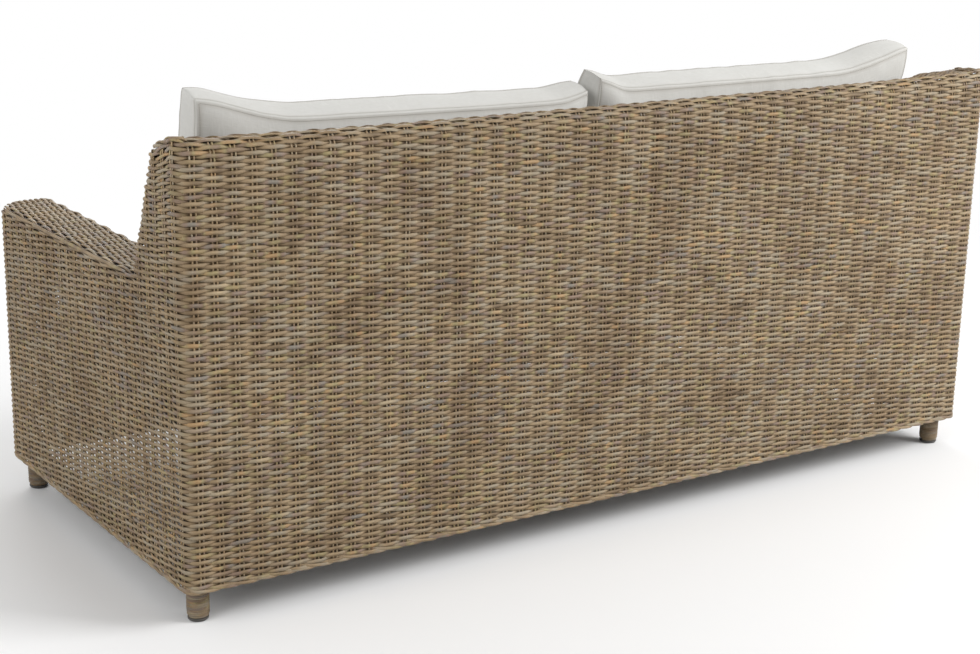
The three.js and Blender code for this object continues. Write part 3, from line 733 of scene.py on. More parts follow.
# over the top edge, from the rear and side faces onto the top
def topEdgePlace(u, v):
    inset, z = topTurn(u, crownAt(u) + min(v, 0))
    if v >= 0:
        inset = min(inset, turnRadius - border["innerMargin"])
    x, y = roundPoint(u, inset)
    if v >= 0 and abs(u) < rearPost.x:
        y -= v
    elif v >= 0 and abs(u) > rearHalf:
        x -= math.copysign(v, u)
    return x, y, liftEnds(x, y, z - fallAt(y))


def addBorders():
    borderTree()
    margin = border["sheetMargin"]
    bottom = (skirt + border["bottomLevel"], skirt - margin, skirt + margin)
    addBorder("bottom_border", lambda u, v: (*roundPoint(u, 0), v),
              frontCorner + quarter + frontFace, *bottom)
    addBorder("apron_border", lambda u, v: (u, -rearPost.y - turnRadius, v), armInner, *bottom)
    addBorder("top_border", topEdgePlace, rearHalf + rearPost.y - topFrontRail.y,
              border["topLevel"], -margin, margin, border["topLift"])


# the legs, wound with a flat strand down to a rounded cap
winding = {
    "pitch": 0.0037,
    "width": 0.0046,
    "thickness": 0.0032,
    "outerRadius": 0.0194,
    "taper": 0.0016,  # the last turns draw in this much
    "tightening": -1.1,  # how soon that ends, for each turn
    "wander": 0.0008,
    "wanderScale": 1.7,
    "tone": 0.17,  # of the first leg, and from each leg to the next
    "toneStep": 0.21,
    "bottom": 0.0062,
    "stepsPerTurn": 20,
    "capTop": 0.0060,
    "capRadius": 0.0178,
    "capRound": 0.0048,
    "capEdge": 0.0006,
    "capEdgeDrop": 0.0004,
    "capSides": 40,
}


def windingTree():
    given, end = geometryTree(
        "woundLeg", winding, "taper pitch stepsPerTurn width thickness wander", centre="Vector",
        radius=winding["outerRadius"] - winding["thickness"] / 2, turns=16, tone=0.5, seed=5,
        strand="Material")
    line = lineBundle(1, given.turns * given.stepsPerTurn + 1)
    turns = onLine("Index") / given.stepsPerTurn
    angle = turns * (2 * math.pi)
    wander = noiseOf(vectorOf(turns, given.tone, given.seed), winding["wanderScale"], 1.0) - 0.5
    # the first turns, at the foot, are tighter
    tight = sumOf("EXPONENT", turns * winding["tightening"]) * given.taper
    radius = given.radius - tight + wander * given.wander
    outward = vectorOf(sumOf("COSINE", angle), sumOf("SINE", angle), 0.0)
    raised = addNode("ShaderNodeVectorMath", scaled(outward, radius),
                     vectorOf(0.0, 0.0, turns * given.pitch))
    placed = addNode("ShaderNodeVectorMath", raised, given.centre)
    line = store(line, "along", angle * given.radius)
    line = store(line, "tone", given.tone)
    line = store(line, "front", 1.0)
    turned = addNode("GeometryNodeSetCurveNormal", line, {"Normal": outward}, mode="FREE")
    moved = addNode("GeometryNodeSetPosition", {"Geometry": turned, "Position": placed})
    endTree(sweep(moved, given.width, given.thickness, 6, given.strand), end)


def turnedMesh(name, profile, centre, sides):
    points, faces = [], []
    for radius, z in profile:
        for k in range(sides):
            angle = 2 * math.pi * k / sides
            x, y = centre.x + radius * math.cos(angle), centre.y + radius * math.sin(angle)
            points.append((x, y, z))
    for a in range(0, (len(profile) - 1) * sides, sides):
        for k in range(sides):
            n = (k + 1) % sides
            faces.append((a + k, a + n, a + sides + n, a + sides + k))
    faces.append(tuple(range(sides))[::-1])
    faces.append(tuple((len(profile) - 1) * sides + k for k in range(sides)))
    obj = meshObject(name, points, [], faces)
    obj.data.shade_smooth()
    return obj


def addLegs():
    windingTree()
    size = winding
    bottom, top = size["bottom"] + size["width"] / 2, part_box("leg_wrap_rear_right")[1].z
    profile = []
    for angle in (math.radians(15 * k) for k in range(7)):
        radius = size["capRadius"] - size["capRound"] * (1 - math.sin(angle))
        profile.append((radius, size["capRound"] * (1 - math.cos(angle))))
    profile += [(size["capRadius"], size["capTop"] - size["capEdgeDrop"]),
                (size["capRadius"] - size["capEdge"], size["capTop"])]
    for number, place in enumerate(("front_left", "front_right", "rear_left", "rear_right")):
        centre = centreOf(f"glide_{place}")
        name = f"leg_winding_{place}"
        wound = newObject(name, bpy.data.meshes.new(name))
        bakeTree(wound, "woundLeg", centre=(centre.x, centre.y, bottom),
                 turns=math.floor((top - bottom) / size["pitch"]),
                 tone=size["tone"] + size["toneStep"] * number, strand=materials["legStrand"])
        declare(wound, "sofa_frame", "wicker", f"leg_wrap_{place}")
        cap = turnedMesh(f"foot_cap_{place}", profile, centre, size["capSides"])
        cap.data.materials.append(materials["cap"])
        declare(cap, "sofa_frame", "glide", f"glide_{place}")


# the wicker's colours change along each strand, from strand to strand and over the sofa
wicker = {
    "dark": (0.130, 0.092, 0.055),
    "brown": (0.225, 0.163, 0.098),
    "tan": (0.335, 0.252, 0.158),
    "sand": (0.440, 0.350, 0.228),
    "grey": (0.315, 0.272, 0.208),
    "orange": (0.400, 0.262, 0.135),
    "olive": (0.320, 0.275, 0.145),
    "slate": (0.215, 0.200, 0.182),
    "mauve": (0.260, 0.185, 0.150),
    "paintedShadeBehind": (0.48, 0.42, 0.34),  # painted shade: how dark a strand is painted where it passes behind the stakes
    "baseStops": {"dark": 0.22, "brown": 0.38, "tan": 0.50, "grey": 0.60, "sand": 0.74},
    "accentStops": {"slate": 0.32, "mauve": 0.42, "brown": 0.50, "olive": 0.58, "orange": 0.66},
    "accentShare": 0.85,
    # how fast the colours change along a strand, for each metre
    "baseScale": 14.0,
    "accentScale": 30.0,
    "choiceScale": 9.0,
    "fibreScale": 60.0,
    "toneSpread": 83.0,  # and from one strand to the next
    "patchScale": 7.0,  # and over the sofa
    "lightness": {"strand": 0.92, "stake": 1.25, "leg": 0.64},
    "roughness": 0.42,
    "grainRoughness": 0.25,
    "grainBump": {"strength": 0.35, "distance": 0.0006},
    "specular": 0.30,
}


# a colour, or one number for a grey
def rgba(colour):
    return (*colour, 1.0) if isinstance(colour, tuple) else (colour, colour, colour, 1.0)


def ramp(factor, *stops):
    node = addNode("ShaderNodeValToRGB", factor)
    elements = node.color_ramp.elements
    while len(elements) < len(stops):
        elements.new(0.5)
    for element, (position, colour) in zip(elements, stops):
        element.position = position
        element.color = rgba(colour)
    return field(node)


def mixColour(factor, first, second, blend="MIX"):
    node = addNode("ShaderNodeMix", {"Factor": factor}, data_type="RGBA", blend_type=blend)
    colours = [s for s in node.inputs if s.type == "RGBA"]
    for socket, value in zip(colours, (first, second)):
        feed(value if isinstance(value, Field) else rgba(value), socket)
    return [Field(s) for s in node.outputs if s.type == "RGBA"][0]


def tinted(colour, factor, *stops):
    return mixColour(1.0, colour, ramp(factor, *stops), "MULTIPLY")


def objectPlace():
    return addNode("ShaderNodeTexCoord").outputs["Object"]


def wickerGroup():
    inputs = {"along": 0.0, "tone": 0.5, "around": 0.0, "front": 1.0, "lightness": 1.0}
    given, end = newTree("wickerTone", "ShaderNodeTree", inputs,
                         {"color": "Color", "roughness": "Float", "grain": "Float"})
    strand = given.tone * wicker["toneSpread"]

    def spots(scale, z, detail=1.0):
        return noiseOf(vectorOf(given.along * scale, strand, z), 1.0, detail)

    def shades(key):
        return [(position, wicker[name]) for name, position in wicker[key].items()]

    base = ramp(spots(wicker["baseScale"], 0.0, 2.0), *shades("baseStops"))
    accent = ramp(spots(wicker["accentScale"], 3.0), *shades("accentStops"))
    choice = ramp(spots(wicker["choiceScale"], 11.0), (0.50, 0), (0.60, wicker["accentShare"]))
    colour = mixColour(choice, base, accent)
    turn = given.around * (2 * math.pi)
    fibre = vectorOf(given.along * wicker["fibreScale"], sumOf("COSINE", turn) * 4.0,
                     sumOf("SINE", turn) * 4.0)
    grain = noiseOf(fibre, 1.4, 3.0, 0.6)
    colour = tinted(colour, grain, (0.3, 0.72), (0.7, 1.2))
    patches = noiseOf(objectPlace(), wicker["patchScale"], 3.0)
    colour = tinted(colour, patches, (0.34, (0.84, 0.775, 0.70)), (0.5, (1.0, 0.965, 0.90)),
                    (0.68, (1.08, 1.045, 0.99)))
    # painted shade on the strands where they pass behind the stakes or tuck in
    shadedBehind = addNode("ShaderNodeMapRange", given.front, -1.0, -0.3, 0.0, 1.0)
    colour = tinted(colour, shadedBehind, (0.0, wicker["paintedShadeBehind"]), (1.0, 1.0))
    feed(scaled(colour, given.lightness), end.inputs["Color"])
    feed(grain * wicker["grainRoughness"] + wicker["roughness"], end.inputs["Roughness"])
    feed(grain, end.inputs["Grain"])


def newMaterial(name):
    material = bpy.data.materials.new(name)
    material.use_nodes = True
    opened["tree"] = material.node_tree
    return material, material.node_tree.nodes["Principled BSDF"]


def dress(surface, colour, roughness, height=None, strength=0.5, distance=0.0004):
    feed(colour, surface.inputs["Base Color"])
    feed(roughness, surface.inputs["Roughness"])
    if height is not None:
        sizes = {"Strength": strength, "Distance": distance, "Height": height}
        feed(addNode("ShaderNodeBump", sizes), surface.inputs["Normal"])


def wickerMaterial(name, lightness):
    material, surface = newMaterial(name)
    tones = addNode("ShaderNodeGroup", node_tree=bpy.data.node_groups["wickerTone"])
    for source in ("along", "tone", "around", "front"):
        attribute = addNode("ShaderNodeAttribute", attribute_name=source)
        feed(attribute.outputs["Fac"], tones.inputs[label(source)])
    tones.inputs["Lightness"].default_value = lightness
    dress(surface, *tones.outputs, **wicker["grainBump"])
    surface.inputs["Specular IOR Level"].default_value = wicker["specular"]
    return material


# the cushions, box cut and filled with foam in a soft wrap
cushions = {
    "gridStep": 0.0125,
    "stitchBand": 0.0042,  # from a seam to the line of stitches on either side of it
    "stitchPitch": 0.0042,
    "stitchLength": 0.0034,
    "stitchThickness": 0.0010,
    "stitchRise": 0.0002,
    "stitchWander": 0.12,
    "crownPower": 4,
    "pinchPower": 8,
    "swell": 0.007,  # the cloth starts this much smaller and is blown up
    "swellLimit": 0.013,
    "bulgeShare": 0.87,  # of the side's bulge that stays inside the frame's cushion
    "cloth": {
        "quality": 4,
        "mass": 0.3,
        "tension_stiffness": 20,
        "compression_stiffness": 10,
        "shear_stiffness": 5,
        "bending_stiffness": 0.4,
        "vertex_group_shrink": "seam",
        "shrink_min": 0.0,
        "shrink_max": 0.015,
        "use_pressure": True,
        "uniform_pressure_force": 4.0,
    },
    "frames": 18,
    "seamPress": {"stitches": (0.0007, 1.0), "seams": (-0.0002, 0.3)},  # depth, and painted shade in the pressed groove
    "shrinkWeights": {"seams": 1.0, "stitches": 0.8},
    "puckerDepth": 0.0014,
    "puckerLength": 0.022,
    "puckerReach": 1.6,  # times that length, from the seam
    "puckerGain": 1.6,
    "broadLength": 0.11,  # of the low folds all over
    "clearance": 0.0018,  # of the woven strands, which stand a little proud of their skin
    "middleGap": 0.0006,
    "restGap": 0.0003,
    "fill": 0.75,
}
seatCushion = {
    "boxing": 0.120,
    "topCrown": 0.016,
    "bottomCrown": 0.0,
    "drawIn": 0.007,
    "sideBulge": 0.004,
    "cornerPinch": 0.003,
    "pressBand": 0.110,
    "pressRamp": 0.22,
    "towardMiddle": 0.012,  # the cushions are pushed together
}
backCushion = {
    "boxing": 0.080,
    "topCrown": 0.034,
    "bottomCrown": 0.022,
    "drawIn": 0.009,
    "sideBulge": 0.003,
    "cornerPinch": 0.012,
    "lean": math.radians(17),
    "riseAboveBack": 0.033,
    "topLeanGap": 0.047,
    "bottomPress": 0.004,
    "topSag": 0.030,
    "innerEar": {"left": 0.014, "right": 0.009},
    "innerDrop": {"left": 0.0, "right": 0.016},  # the top falls this much towards the middle
    "rearLift": 0.006,  # of the rear seam's top, as the filling rounds it
    "rearFlare": {"left": 0.012, "right": 0.004},
    "towardMiddle": 0.014,
    "rearInnerFlare": {"left": 0.008, "right": 0.014},
    "outerEarShare": 0.25,
    "innerEarShare": 0.11,
    "overArms": 0.021,  # the outer side swells this far over the arm
    "overArmsHeight": 0.12,  # within this height above the arm
    "flareFrom": 0.2,  # of the width beyond the middle, where the side's flare starts
    "flareRamp": 0.3,
    "topFullness": 0.007,
}
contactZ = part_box("back_cushion_right")[0].z
pressedTop = contactZ - cushions["restGap"]


# places from -1 to 1 along a side, with one line close to each end for the stitches
def seamSpacing(length):
    band = 2 * cushions["stitchBand"] / length
    count = max(6, round(length / cushions["gridStep"]))
    inner = [(1 - band) * (2 * k / count - 1) for k in range(count + 1)]
    return [-1] + inner + [1]


def cushionMesh(name, size, outline, place, width, height):
    points, faces, uvs = [], [], []
    us, vs = seamSpacing(width), seamSpacing(height)
    shares = [(s + 1) / 2 for s in seamSpacing(size["boxing"])]
    lastI, lastJ = len(us) - 1, len(vs) - 1
    swell = cushions["swell"]

    def addPoint(x, y, z):
        points.append(place(Vector((x, y, z))))
        return len(points) - 1

    def pinch(u, v):
        return size["cornerPinch"] * abs(u * v) ** cushions["pinchPower"]

    def seamHeights(u, v):
        return pinch(u, v) if size["bottomCrown"] else 0, size["boxing"] - pinch(u, v)

    def crown(u, v):
        return (1 - abs(u) ** cushions["crownPower"]) * (1 - abs(v) ** cushions["crownPower"])

    # the points once round a face, so many lines in from its seam
    def lineRound(grid, d):
        spots = [(i, d) for i in range(d, lastI - d)]
        spots += [(lastI - d, j) for j in range(d, lastJ - d)]
        spots += [(i, lastJ - d) for i in range(lastI - d, d, -1)]
        spots += [(d, j) for j in range(lastJ - d, d, -1)]
        return [grid[spot] for spot in spots], spots

    top, bottom = {}, {}
    for grid in (top, bottom):
        for j, v in enumerate(vs):
            for i, u in enumerate(us):
                low, high = seamHeights(u, v)
                z = high + max(size["topCrown"] - swell, 0) * crown(u, v)
                if grid is bottom:
                    z = low - max(size["bottomCrown"] - swell, 0) * crown(u, v)
                grid[i, j] = addPoint(*outline(u, v), z)
    for grid in (top, bottom):
        for j in range(lastJ):
            for i in range(lastI):
                corners = [(i, j), (i + 1, j), (i + 1, j + 1), (i, j + 1)]
                corners = corners if grid is top else corners[::-1]
                faces.append([grid[spot] for spot in corners])
                uvs.append([(us[a] * width / 2, vs[b] * height / 2 + (0 if grid is top else 2))
                            for a, b in corners])
    firstRing, rim = lineRound(top, 0)
    distances = [0.0]
    for k, (i, j) in enumerate(rim):
        a, b = rim[(k + 1) % len(rim)]
        run = math.hypot((us[a] - us[i]) * width / 2, (vs[b] - vs[j]) * height / 2)
        distances.append(distances[-1] + run)
    rings = [firstRing]
    for share in shares[1:-1]:
        ring = []
        bulge = size["sideBulge"] * math.sin(math.pi * share)
        for i, j in rim:
            u, v = us[i], vs[j]
            x, y = outline(u, v)
            x += math.copysign(bulge, u) if i in (0, lastI) else 0
            y += math.copysign(bulge, v) if j in (0, lastJ) else 0
            low, high = seamHeights(u, v)
            ring.append(addPoint(x, y, high + (low - high) * share))
        rings.append(ring)
    rings.append(lineRound(bottom, 0)[0])
    for number, (upper, lower) in enumerate(zip(rings, rings[1:])):
        for k in range(len(rim)):
            n = (k + 1) % len(rim)
            faces.append([upper[k], lower[k], lower[n], upper[n]])
            high, low = [-share * size["boxing"] - 1 for share in shares[number:number + 2]]
            uvs.append([(distances[k], high), (distances[k], low),
                        (distances[k + 1], low), (distances[k + 1], high)])
    obj = meshObject(name, points, [], faces)
    uvMap = obj.data.uv_layers.new(name="clothUV")
    uvMap.data.foreach_set("uv", [c for face in uvs for corner in face for c in corner])
    obj.data.shade_smooth()
    return obj, {"seams": [rings[0], rings[-1]],
                 "stitches": [rings[1], rings[-2], lineRound(top, 1)[0], lineRound(bottom, 1)[0]]}


def blowUp(obj, lines):
    group = obj.vertex_groups.new(name="seam")
    for kind, weight in cushions["shrinkWeights"].items():
        for line in lines[kind]:
            group.add(line, weight, "REPLACE")
    cloth = obj.modifiers.new("cloth", "CLOTH")
    for name, value in cushions["cloth"].items():
        setattr(cloth.settings, name, value)
    cloth.settings.effector_weights.gravity = 0
    cloth.collision_settings.use_collision = False
    cloth.point_cache.frame_end = cushions["frames"]
    scene = bpy.context.scene
    for frameNumber in range(1, cushions["frames"] + 1):
        scene.frame_set(frameNumber)
    ends = [v.co.copy() for v in evaluated(obj).data.vertices]
    obj.modifiers.remove(cloth)
    scene.frame_set(1)
    limit = cushions["swellLimit"]
    for vertex, end in zip(obj.data.vertices, ends):
        move = end - vertex.co
        if move.length > 0:
            vertex.co += move * (limit * math.tanh(move.length / limit) / move.length)


# small ridges run away from a seam, where the stitches gather the cloth
def pucker(obj, lines, seed):
    mesh = obj.data
    seamPoints = [mesh.vertices[i].co.copy() for line in lines["seams"] for i in line]
    tree = KDTree(len(seamPoints))
    for number, place in enumerate(seamPoints):
        tree.insert(place, number)
    tree.balance()
    mesh.calc_loop_triangles()
    normals = [v.normal.copy() for v in mesh.vertices]
    length, gain = cushions["puckerLength"], cushions["puckerGain"]
    for vertex, normal in zip(mesh.vertices, normals):
        nearest, number, away = tree.find(vertex.co)
        fade = math.exp(-away / (cushions["puckerReach"] * length))
        ridge = noise.noise(nearest / length + Vector((seed, 0, 0)))
        broad = noise.noise(vertex.co / cushions["broadLength"] + Vector((0, seed, 0)))
        vertex.co += normal * (cushions["puckerDepth"] * (gain * ridge * fade + broad))


def finishCushion(obj, lines, keepClear, seed, body, node):
    blowUp(obj, lines)
    pucker(obj, lines, seed)
    mesh = obj.data
    shade = mesh.attributes.new("seamShade", "FLOAT", "POINT")
    # the seams and stitch lines are pressed in and marked for painted shade
    for kind, (depth, dark) in cushions["seamPress"].items():
        for line in lines[kind]:
            for index in line:
                mesh.vertices[index].co -= mesh.vertices[index].normal * depth
                shade.data[index].value = dark
    for vertex in mesh.vertices:
        vertex.co = keepClear(vertex.co)
    smooth = obj.modifiers.new("smooth", "SUBSURF")
    smooth.levels = smooth.render_levels = 1
    finished = bpy.data.meshes.new_from_object(evaluated(obj))
    obj.modifiers.remove(smooth)
    obj.vertex_groups.clear()
    obj.data = finished
    finished.materials.clear()
    finished.materials.append(materials["linen"])
    declare(obj, body, "cushion_fabric", node)


# stitches stand on a path of edges whose points carry the way out of the cloth
def stitchTree():
    given, end = geometryTree(
        "stitches", cushions, "stitchPitch stitchLength stitchThickness stitchWander", seed=3,
        thread="Material")
    path = addNode("GeometryNodeMeshToCurve", given.geometry)
    step = {"Length": given.stitchPitch}
    spots = addNode("GeometryNodeResampleCurve", path, step, mode="LENGTH")
    turned = addNode("FunctionNodeAlignRotationToVector",
                     {"Vector": addNode("GeometryNodeInputTangent")}, axis="X")
    raised = addNode("FunctionNodeAlignRotationToVector",
                     {"Rotation": turned, "Vector": named("outward", "FLOAT_VECTOR")},
                     axis="Z", pivot_axis="X")
    long, thin = given.stitchLength, given.stitchThickness
    slim = addNode("GeometryNodeTransform", addNode("GeometryNodeMeshUVSphere", 4, 2, 0.5),
                   {"Scale": vectorOf(long, thin, thin)})
    placed = addNode("GeometryNodeInstanceOnPoints", spots, {"Instance": slim, "Rotation": raised})
    chance = randomOf(addNode("GeometryNodeInputIndex"), given.seed)
    spin = (chance - 0.5) * given.stitchWander
    askew = addNode("GeometryNodeRotateInstances", placed, {"Rotation": vectorOf(0.0, 0.0, spin)})
    real = addNode("GeometryNodeRealizeInstances", askew)
    painted = addNode("GeometryNodeSetMaterial", real, {"Material": given.thread})
    feed(painted, end.inputs["Geometry"])


def addStitches(name, cushion, lines, body, seed):
    points, outwards, edges = [], [], []
    for line in lines["stitches"]:
        first = len(points)
        for index in line:
            vertex = cushion.data.vertices[index]
            points.append(vertex.co + vertex.normal * cushions["stitchRise"])
            outwards.append(vertex.normal)
        edges += [(first + k, first + (k + 1) % len(line)) for k in range(len(line))]
    obj = meshObject(name, points, edges, [], outwards)
    bakeTree(obj, "stitches", thread=materials["thread"], seed=seed)
    declare(obj, body, "cushion_fabric")


def addCushion(kind, side, size, outline, place, keepClear, width, height, seed):
    obj, lines = cushionMesh(f"{kind}_pad_{side}", size, outline, place, width, height)
    body = f"{side}_{kind}_cushion"
    finishCushion(obj, lines, keepClear, seed, body, f"{kind}_cushion_{side}")
    addStitches(f"{kind}_stitches_{side}", obj, lines, body, seed + 1)


def addSeatCushion(side, sign):
    size = seatCushion
    low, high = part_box(f"seat_cushion_{side}")
    trim = 2 * (size["sideBulge"] * cushions["bulgeShare"] + cushions["swell"])
    width, depth = high.x - low.x - trim, high.y - low.y - trim
    centre = Vector(((low.x + high.x) / 2, (low.y + high.y) / 2, low.z))
    pressFront = slopeY(pressedTop) - size["pressBand"]
    gap = cushions["clearance"]

    def outline(u, v):
        return (u * (width / 2 - size["drawIn"] * (1 - v * v)),
                v * (depth / 2 - size["drawIn"] * (1 - u * u)))

    def keepClear(point):
        x = sign * min(max(sign * point.x, cushions["middleGap"]), armInner - gap)
        z = max(point.z, deckTop + gap)
        z = min(z, pressedTop + max(0, pressFront - point.y) * size["pressRamp"])
        y = max(min(point.y, slopeY(z) - gap), low.y)
        return Vector((x, y, z))

    def place(point):
        inner = smoothShare(-sign * point.x / width * 2)
        return keepClear(point + centre - Vector((sign * inner * size["towardMiddle"], 0, 0)))

    addCushion("seat", side, size, outline, place, keepClear, width, depth, 3 + sign)


def addBackCushion(side, sign):
    size = backCushion
    low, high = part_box(f"back_cushion_{side}")
    swell, gap = cushions["swell"], cushions["clearance"]
    width = high.x - low.x - 2 * (size["sideBulge"] * cushions["bulgeShare"] + swell)
    up = Vector((0, math.sin(size["lean"]), math.cos(size["lean"])))
    outwards = Vector((0, -math.cos(size["lean"]), math.sin(size["lean"])))
    topZ = backTop - weave["endRise"] + size["riseAboveBack"]
    height = (topZ - contactZ) / math.cos(size["lean"]) + size["bottomPress"]
    top = Vector(((low.x + high.x) / 2, slopeY(topZ) - size["topLeanGap"], topZ))
    centre = top - up * height / 2

    def outline(u, v):
        outward = sign * u
        halfSpan = width / 2 - size["drawIn"] * (1 - v * v)
        upShare, outShare = (v + 1) / 2, (outward + 1) / 2
        sag = size["topSag"] * smoothShare((1 - outShare) / size["outerEarShare"])
        sag -= size["innerEar"][side] * (1 - smoothShare(outShare / size["innerEarShare"]))
        sag += size["innerDrop"][side] * (1 - outShare)
        top = height / 2 - sag + size["topFullness"]
        bottom = size["drawIn"] * (1 - u * u) - height / 2
        return u * halfSpan, upShare * top + (1 - upShare) * bottom

    def aboveArm(z):
        return smoothShare((z - armTop) / size["overArmsHeight"])

    # all of the flare at one end, falling to nothing towards the middle
    def towards(end, x):
        return smoothShare((end * x / width - size["flareFrom"]) / size["flareRamp"])

    def keepClear(point):
        z = max(point.z, contactZ)
        outer = armInner - gap + 2 * aboveArm(z) * size["overArms"]
        x = sign * min(max(sign * point.x, cushions["middleGap"]), outer)
        return Vector((x, min(point.y, slopeY(z) - gap), z))

    def place(point):
        world = centre + Vector((point.x, 0, 0)) + up * point.y + outwards * point.z
        rear = 1 - clamp(point.z / size["boxing"])
        overArm = aboveArm(world.z) * towards(sign, point.x)
        world.x += sign * overArm * (size["overArms"] + size["rearFlare"][side] * rear)
        inner = towards(-sign, point.x)
        world.x -= sign * inner * (size["towardMiddle"] + size["rearInnerFlare"][side] * rear)
        world.z += size["rearLift"] * rear * smoothShare(point.y / height + 0.5)
        return keepClear(world)

    addCushion("back", side, size, outline, place, keepClear, width, height, 13 + sign)


linen = {
    "pale": (0.606, 0.603, 0.579),
    "shade": (0.532, 0.526, 0.496),
    "thread": (0.27, 0.245, 0.215),
    "slub": (0.72, 0.712, 0.685),
    # painted shade of the pressed seams and stitch lines
    "seamShade": (0.87, 0.855, 0.835),
    "cloud": (0.965, 0.96, 0.955),
    "cloudScale": 7.0,
    # of the noise along and across the threads, for each metre
    "fineScale": (60.0, 1500.0),
    "slubScale": (22.0, 330.0),
    "slubShare": 0.6,
    "roughness": 0.92,
    "sheen": {"Sheen Weight": 0.05, "Sheen Roughness": 0.5},
    "threadShade": 0.7,
    "threadScale": 1800.0,
    "threadRoughness": 0.7,
}


def linenMaterial():
    material, surface = newMaterial("offWhiteLinen")
    parts = addNode("ShaderNodeSeparateXYZ", addNode("ShaderNodeUVMap", uv_map="clothUV"))
    x, y = field(parts, 0), field(parts, 1)

    def bothWays(key, z, roughness):
        along, across = linen[key]
        return [noiseOf(vectorOf(a * along, b * across, z), 1.0, 2.0, roughness)
                for a, b in ((x, y), (y, x))]

    warp, weft = bothWays("fineScale", 0.0, 0.6)
    fine = (warp + weft) * 0.5
    slubs = sumOf("MAXIMUM", *bothWays("slubScale", 5.0, 0.5))
    colour = ramp(fine, (0.36, linen["shade"]), (0.58, linen["pale"]))
    slubbed = ramp(slubs, (0.62, 0), (0.8, 1)) * linen["slubShare"]
    colour = mixColour(slubbed, colour, linen["slub"])
    clouds = noiseOf(objectPlace(), linen["cloudScale"], 3.0)
    colour = tinted(colour, clouds, (0.35, linen["cloud"]), (0.65, 1.0))
    # painted shade along the pressed seams and stitch lines
    paintedSeamShade = addNode("ShaderNodeAttribute", attribute_name="seamShade").outputs["Fac"]
    colour = tinted(colour, paintedSeamShade, (0.35, 1.0), (1.0, linen["seamShade"]))
    dress(surface, colour, linen["roughness"], fine + slubs * 0.5)
    for name, value in linen["sheen"].items():
        surface.inputs[name].default_value = value
    return material


def threadMaterial():
    material, surface = newMaterial("seamThread")
    dark = tuple(c * linen["threadShade"] for c in linen["thread"])
    twist = noiseOf(objectPlace(), linen["threadScale"], 1.0)
    dress(surface, ramp(twist, (0.3, dark), (0.7, linen["thread"])), linen["threadRoughness"])
    return material


# coated frame tubes and moulded caps, seen from below and through the weave
plainParts = {
    "coatedTube": {
        "colour": (0.055, 0.045, 0.036),
        "worn": (0.10, 0.083, 0.068),
        "roughness": 0.4,
        "scale": 25.0,
    },
    "mouldedCap": {
        "colour": (0.030, 0.028, 0.026),
        "worn": (0.085, 0.078, 0.070),
        "roughness": 0.5,
        "scale": 60.0,
    },
}


def plainMaterial(name):
    material, surface = newMaterial(name)
    look, place = plainParts[name], objectPlace()
    clouds = noiseOf(place, look["scale"], 3.0, 0.6)
    colour = ramp(clouds, (0.35, look["colour"]), (0.75, look["worn"]))
    speck = noiseOf(place, look["scale"] * 40)
    dress(surface, colour, speck * 0.2 + look["roughness"], speck, 0.2, 0.0002)
    return material


# the CAD pieces that no other piece stands for are all tubes of the frame and legs
def paintFrame(material):
    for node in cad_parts.values():
        if not node.hide_render:
            for holder in node.material_slots:
                holder.material = material


# the camera stands behind the sofa's right end, as the photograph was taken
camera = {
    "place": (2.0271, 2.8980, 1.2700),
    "yaw": -2.5414,
    "pitch": -0.2703,
    "roll": 0.0191,
    "lens": 66.56,
    "sensor": 36.0,
}


def addCamera():
    data = bpy.data.cameras.new("camera")
    data.sensor_fit = "HORIZONTAL"
    data.sensor_width = camera["sensor"]
    data.lens = camera["lens"]
    yaw, pitch, roll = camera["yaw"], camera["pitch"], camera["roll"]
    forward = Vector((math.cos(pitch) * math.sin(yaw), math.cos(pitch) * math.cos(yaw),
                      math.sin(pitch)))
    level = forward.cross(zUp).normalized()
    upright = level.cross(forward)
    right = level * math.cos(roll) + upright * math.sin(roll)
    up = upright * math.cos(roll) - level * math.sin(roll)
    turned = Matrix((right, up, -forward)).transposed().to_4x4()
    obj = newObject("camera", data)
    obj.matrix_world = Matrix.Translation(camera["place"]) @ turned
    bpy.context.scene.camera = obj


# plain studio light; each lamp has its place, what it shines at, its size and its watts
studio = {
    "lamps": {
        "key": ((-3.1, 3.0, 2.8), (-0.3, 0.2, 0.4), 2.4, 212),
        "fill": ((4.0, 1.0, 2.4), (0, 0, 0.4), 2.5, 70),
        "front": ((-1.0, -4.0, 3.0), (0, 0, 0.4), 3.0, 95),
    },
    "skyStrength": 0.46,
    "floorSize": 40,
    "floorGrey": 0.9,
    "fade": (1.0, 2.8),  # from here to there the floor turns plain white for the camera
}


def addLamp(name, place, target, size, watts):
    data = bpy.data.lights.new(name, "AREA")
    data.size = size
    data.energy = watts
    obj = newObject(name, data)
    obj.location = place
    obj.rotation_euler = (Vector(target) - Vector(place)).to_track_quat("-Z", "Y").to_euler()


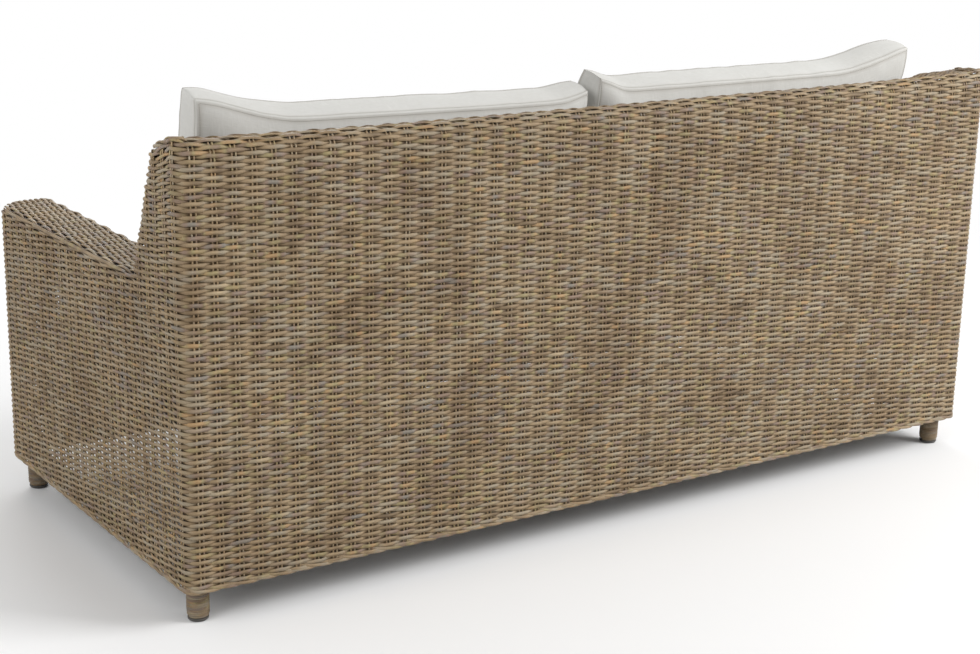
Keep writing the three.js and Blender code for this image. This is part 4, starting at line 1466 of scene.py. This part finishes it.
def seenDirectly():
    path = addNode("ShaderNodeLightPath")
    mirrored = sumOf("MAXIMUM", path.outputs["Is Glossy Ray"], path.outputs["Is Transmission Ray"])
    return sumOf("MAXIMUM", path.outputs["Is Camera Ray"], mirrored)


# what the camera sees is plain white, as far as the share says
def whiten(kind, share, shader, output):
    white = addNode(kind, rgba(1.0), 1.0)
    mix = addNode("ShaderNodeMixShader", share, shader, white)
    feed(mix, opened["tree"].nodes[output].inputs["Surface"])


def addStudio():
    bpy.ops.mesh.primitive_plane_add(size=studio["floorSize"])
    floor = bpy.context.object
    floor.name = "floor"
    material, surface = newMaterial("paleFloor")
    dress(surface, rgba(studio["floorGrey"]), 0.9)
    away = addNode("ShaderNodeVectorMath", objectPlace(), operation="LENGTH").outputs["Value"]
    fade = field(addNode("ShaderNodeMapRange", away, *studio["fade"], 0.0, 1.0))
    whiten("ShaderNodeEmission", fade * seenDirectly(), surface, "Material Output")
    floor.data.materials.append(material)
    world = bpy.data.worlds.new("studio")
    bpy.context.scene.world = world
    world.use_nodes = True
    opened["tree"] = world.node_tree
    light = world.node_tree.nodes["Background"]
    light.inputs["Color"].default_value = rgba(1.0)
    light.inputs["Strength"].default_value = studio["skyStrength"]
    whiten("ShaderNodeBackground", seenDirectly(), light, "World Output")
    for name, settings in studio["lamps"].items():
        addLamp(name, *settings)
    bpy.context.scene.view_settings.view_transform = "Standard"


addCamera()
addStudio()
print("camera and studio ready")

wickerGroup()
materials = {
    "strand": wickerMaterial("wickerStrand", wicker["lightness"]["strand"]),
    "stake": wickerMaterial("wickerStake", wicker["lightness"]["stake"]),
    "legStrand": wickerMaterial("wickerLeg", wicker["lightness"]["leg"]),
    "cap": plainMaterial("mouldedCap"),
    "tube": plainMaterial("coatedTube"),
    "linen": linenMaterial(),
    "thread": threadMaterial(),
}
print("materials ready")

addWovenSkins()
addBorders()
addLegs()
print("woven skins ready")

stitchTree()
for side, sign in bothSides:
    addSeatCushion(side, sign)
    addBackCushion(side, sign)
print("cushions ready")
paintFrame(materials["tube"])
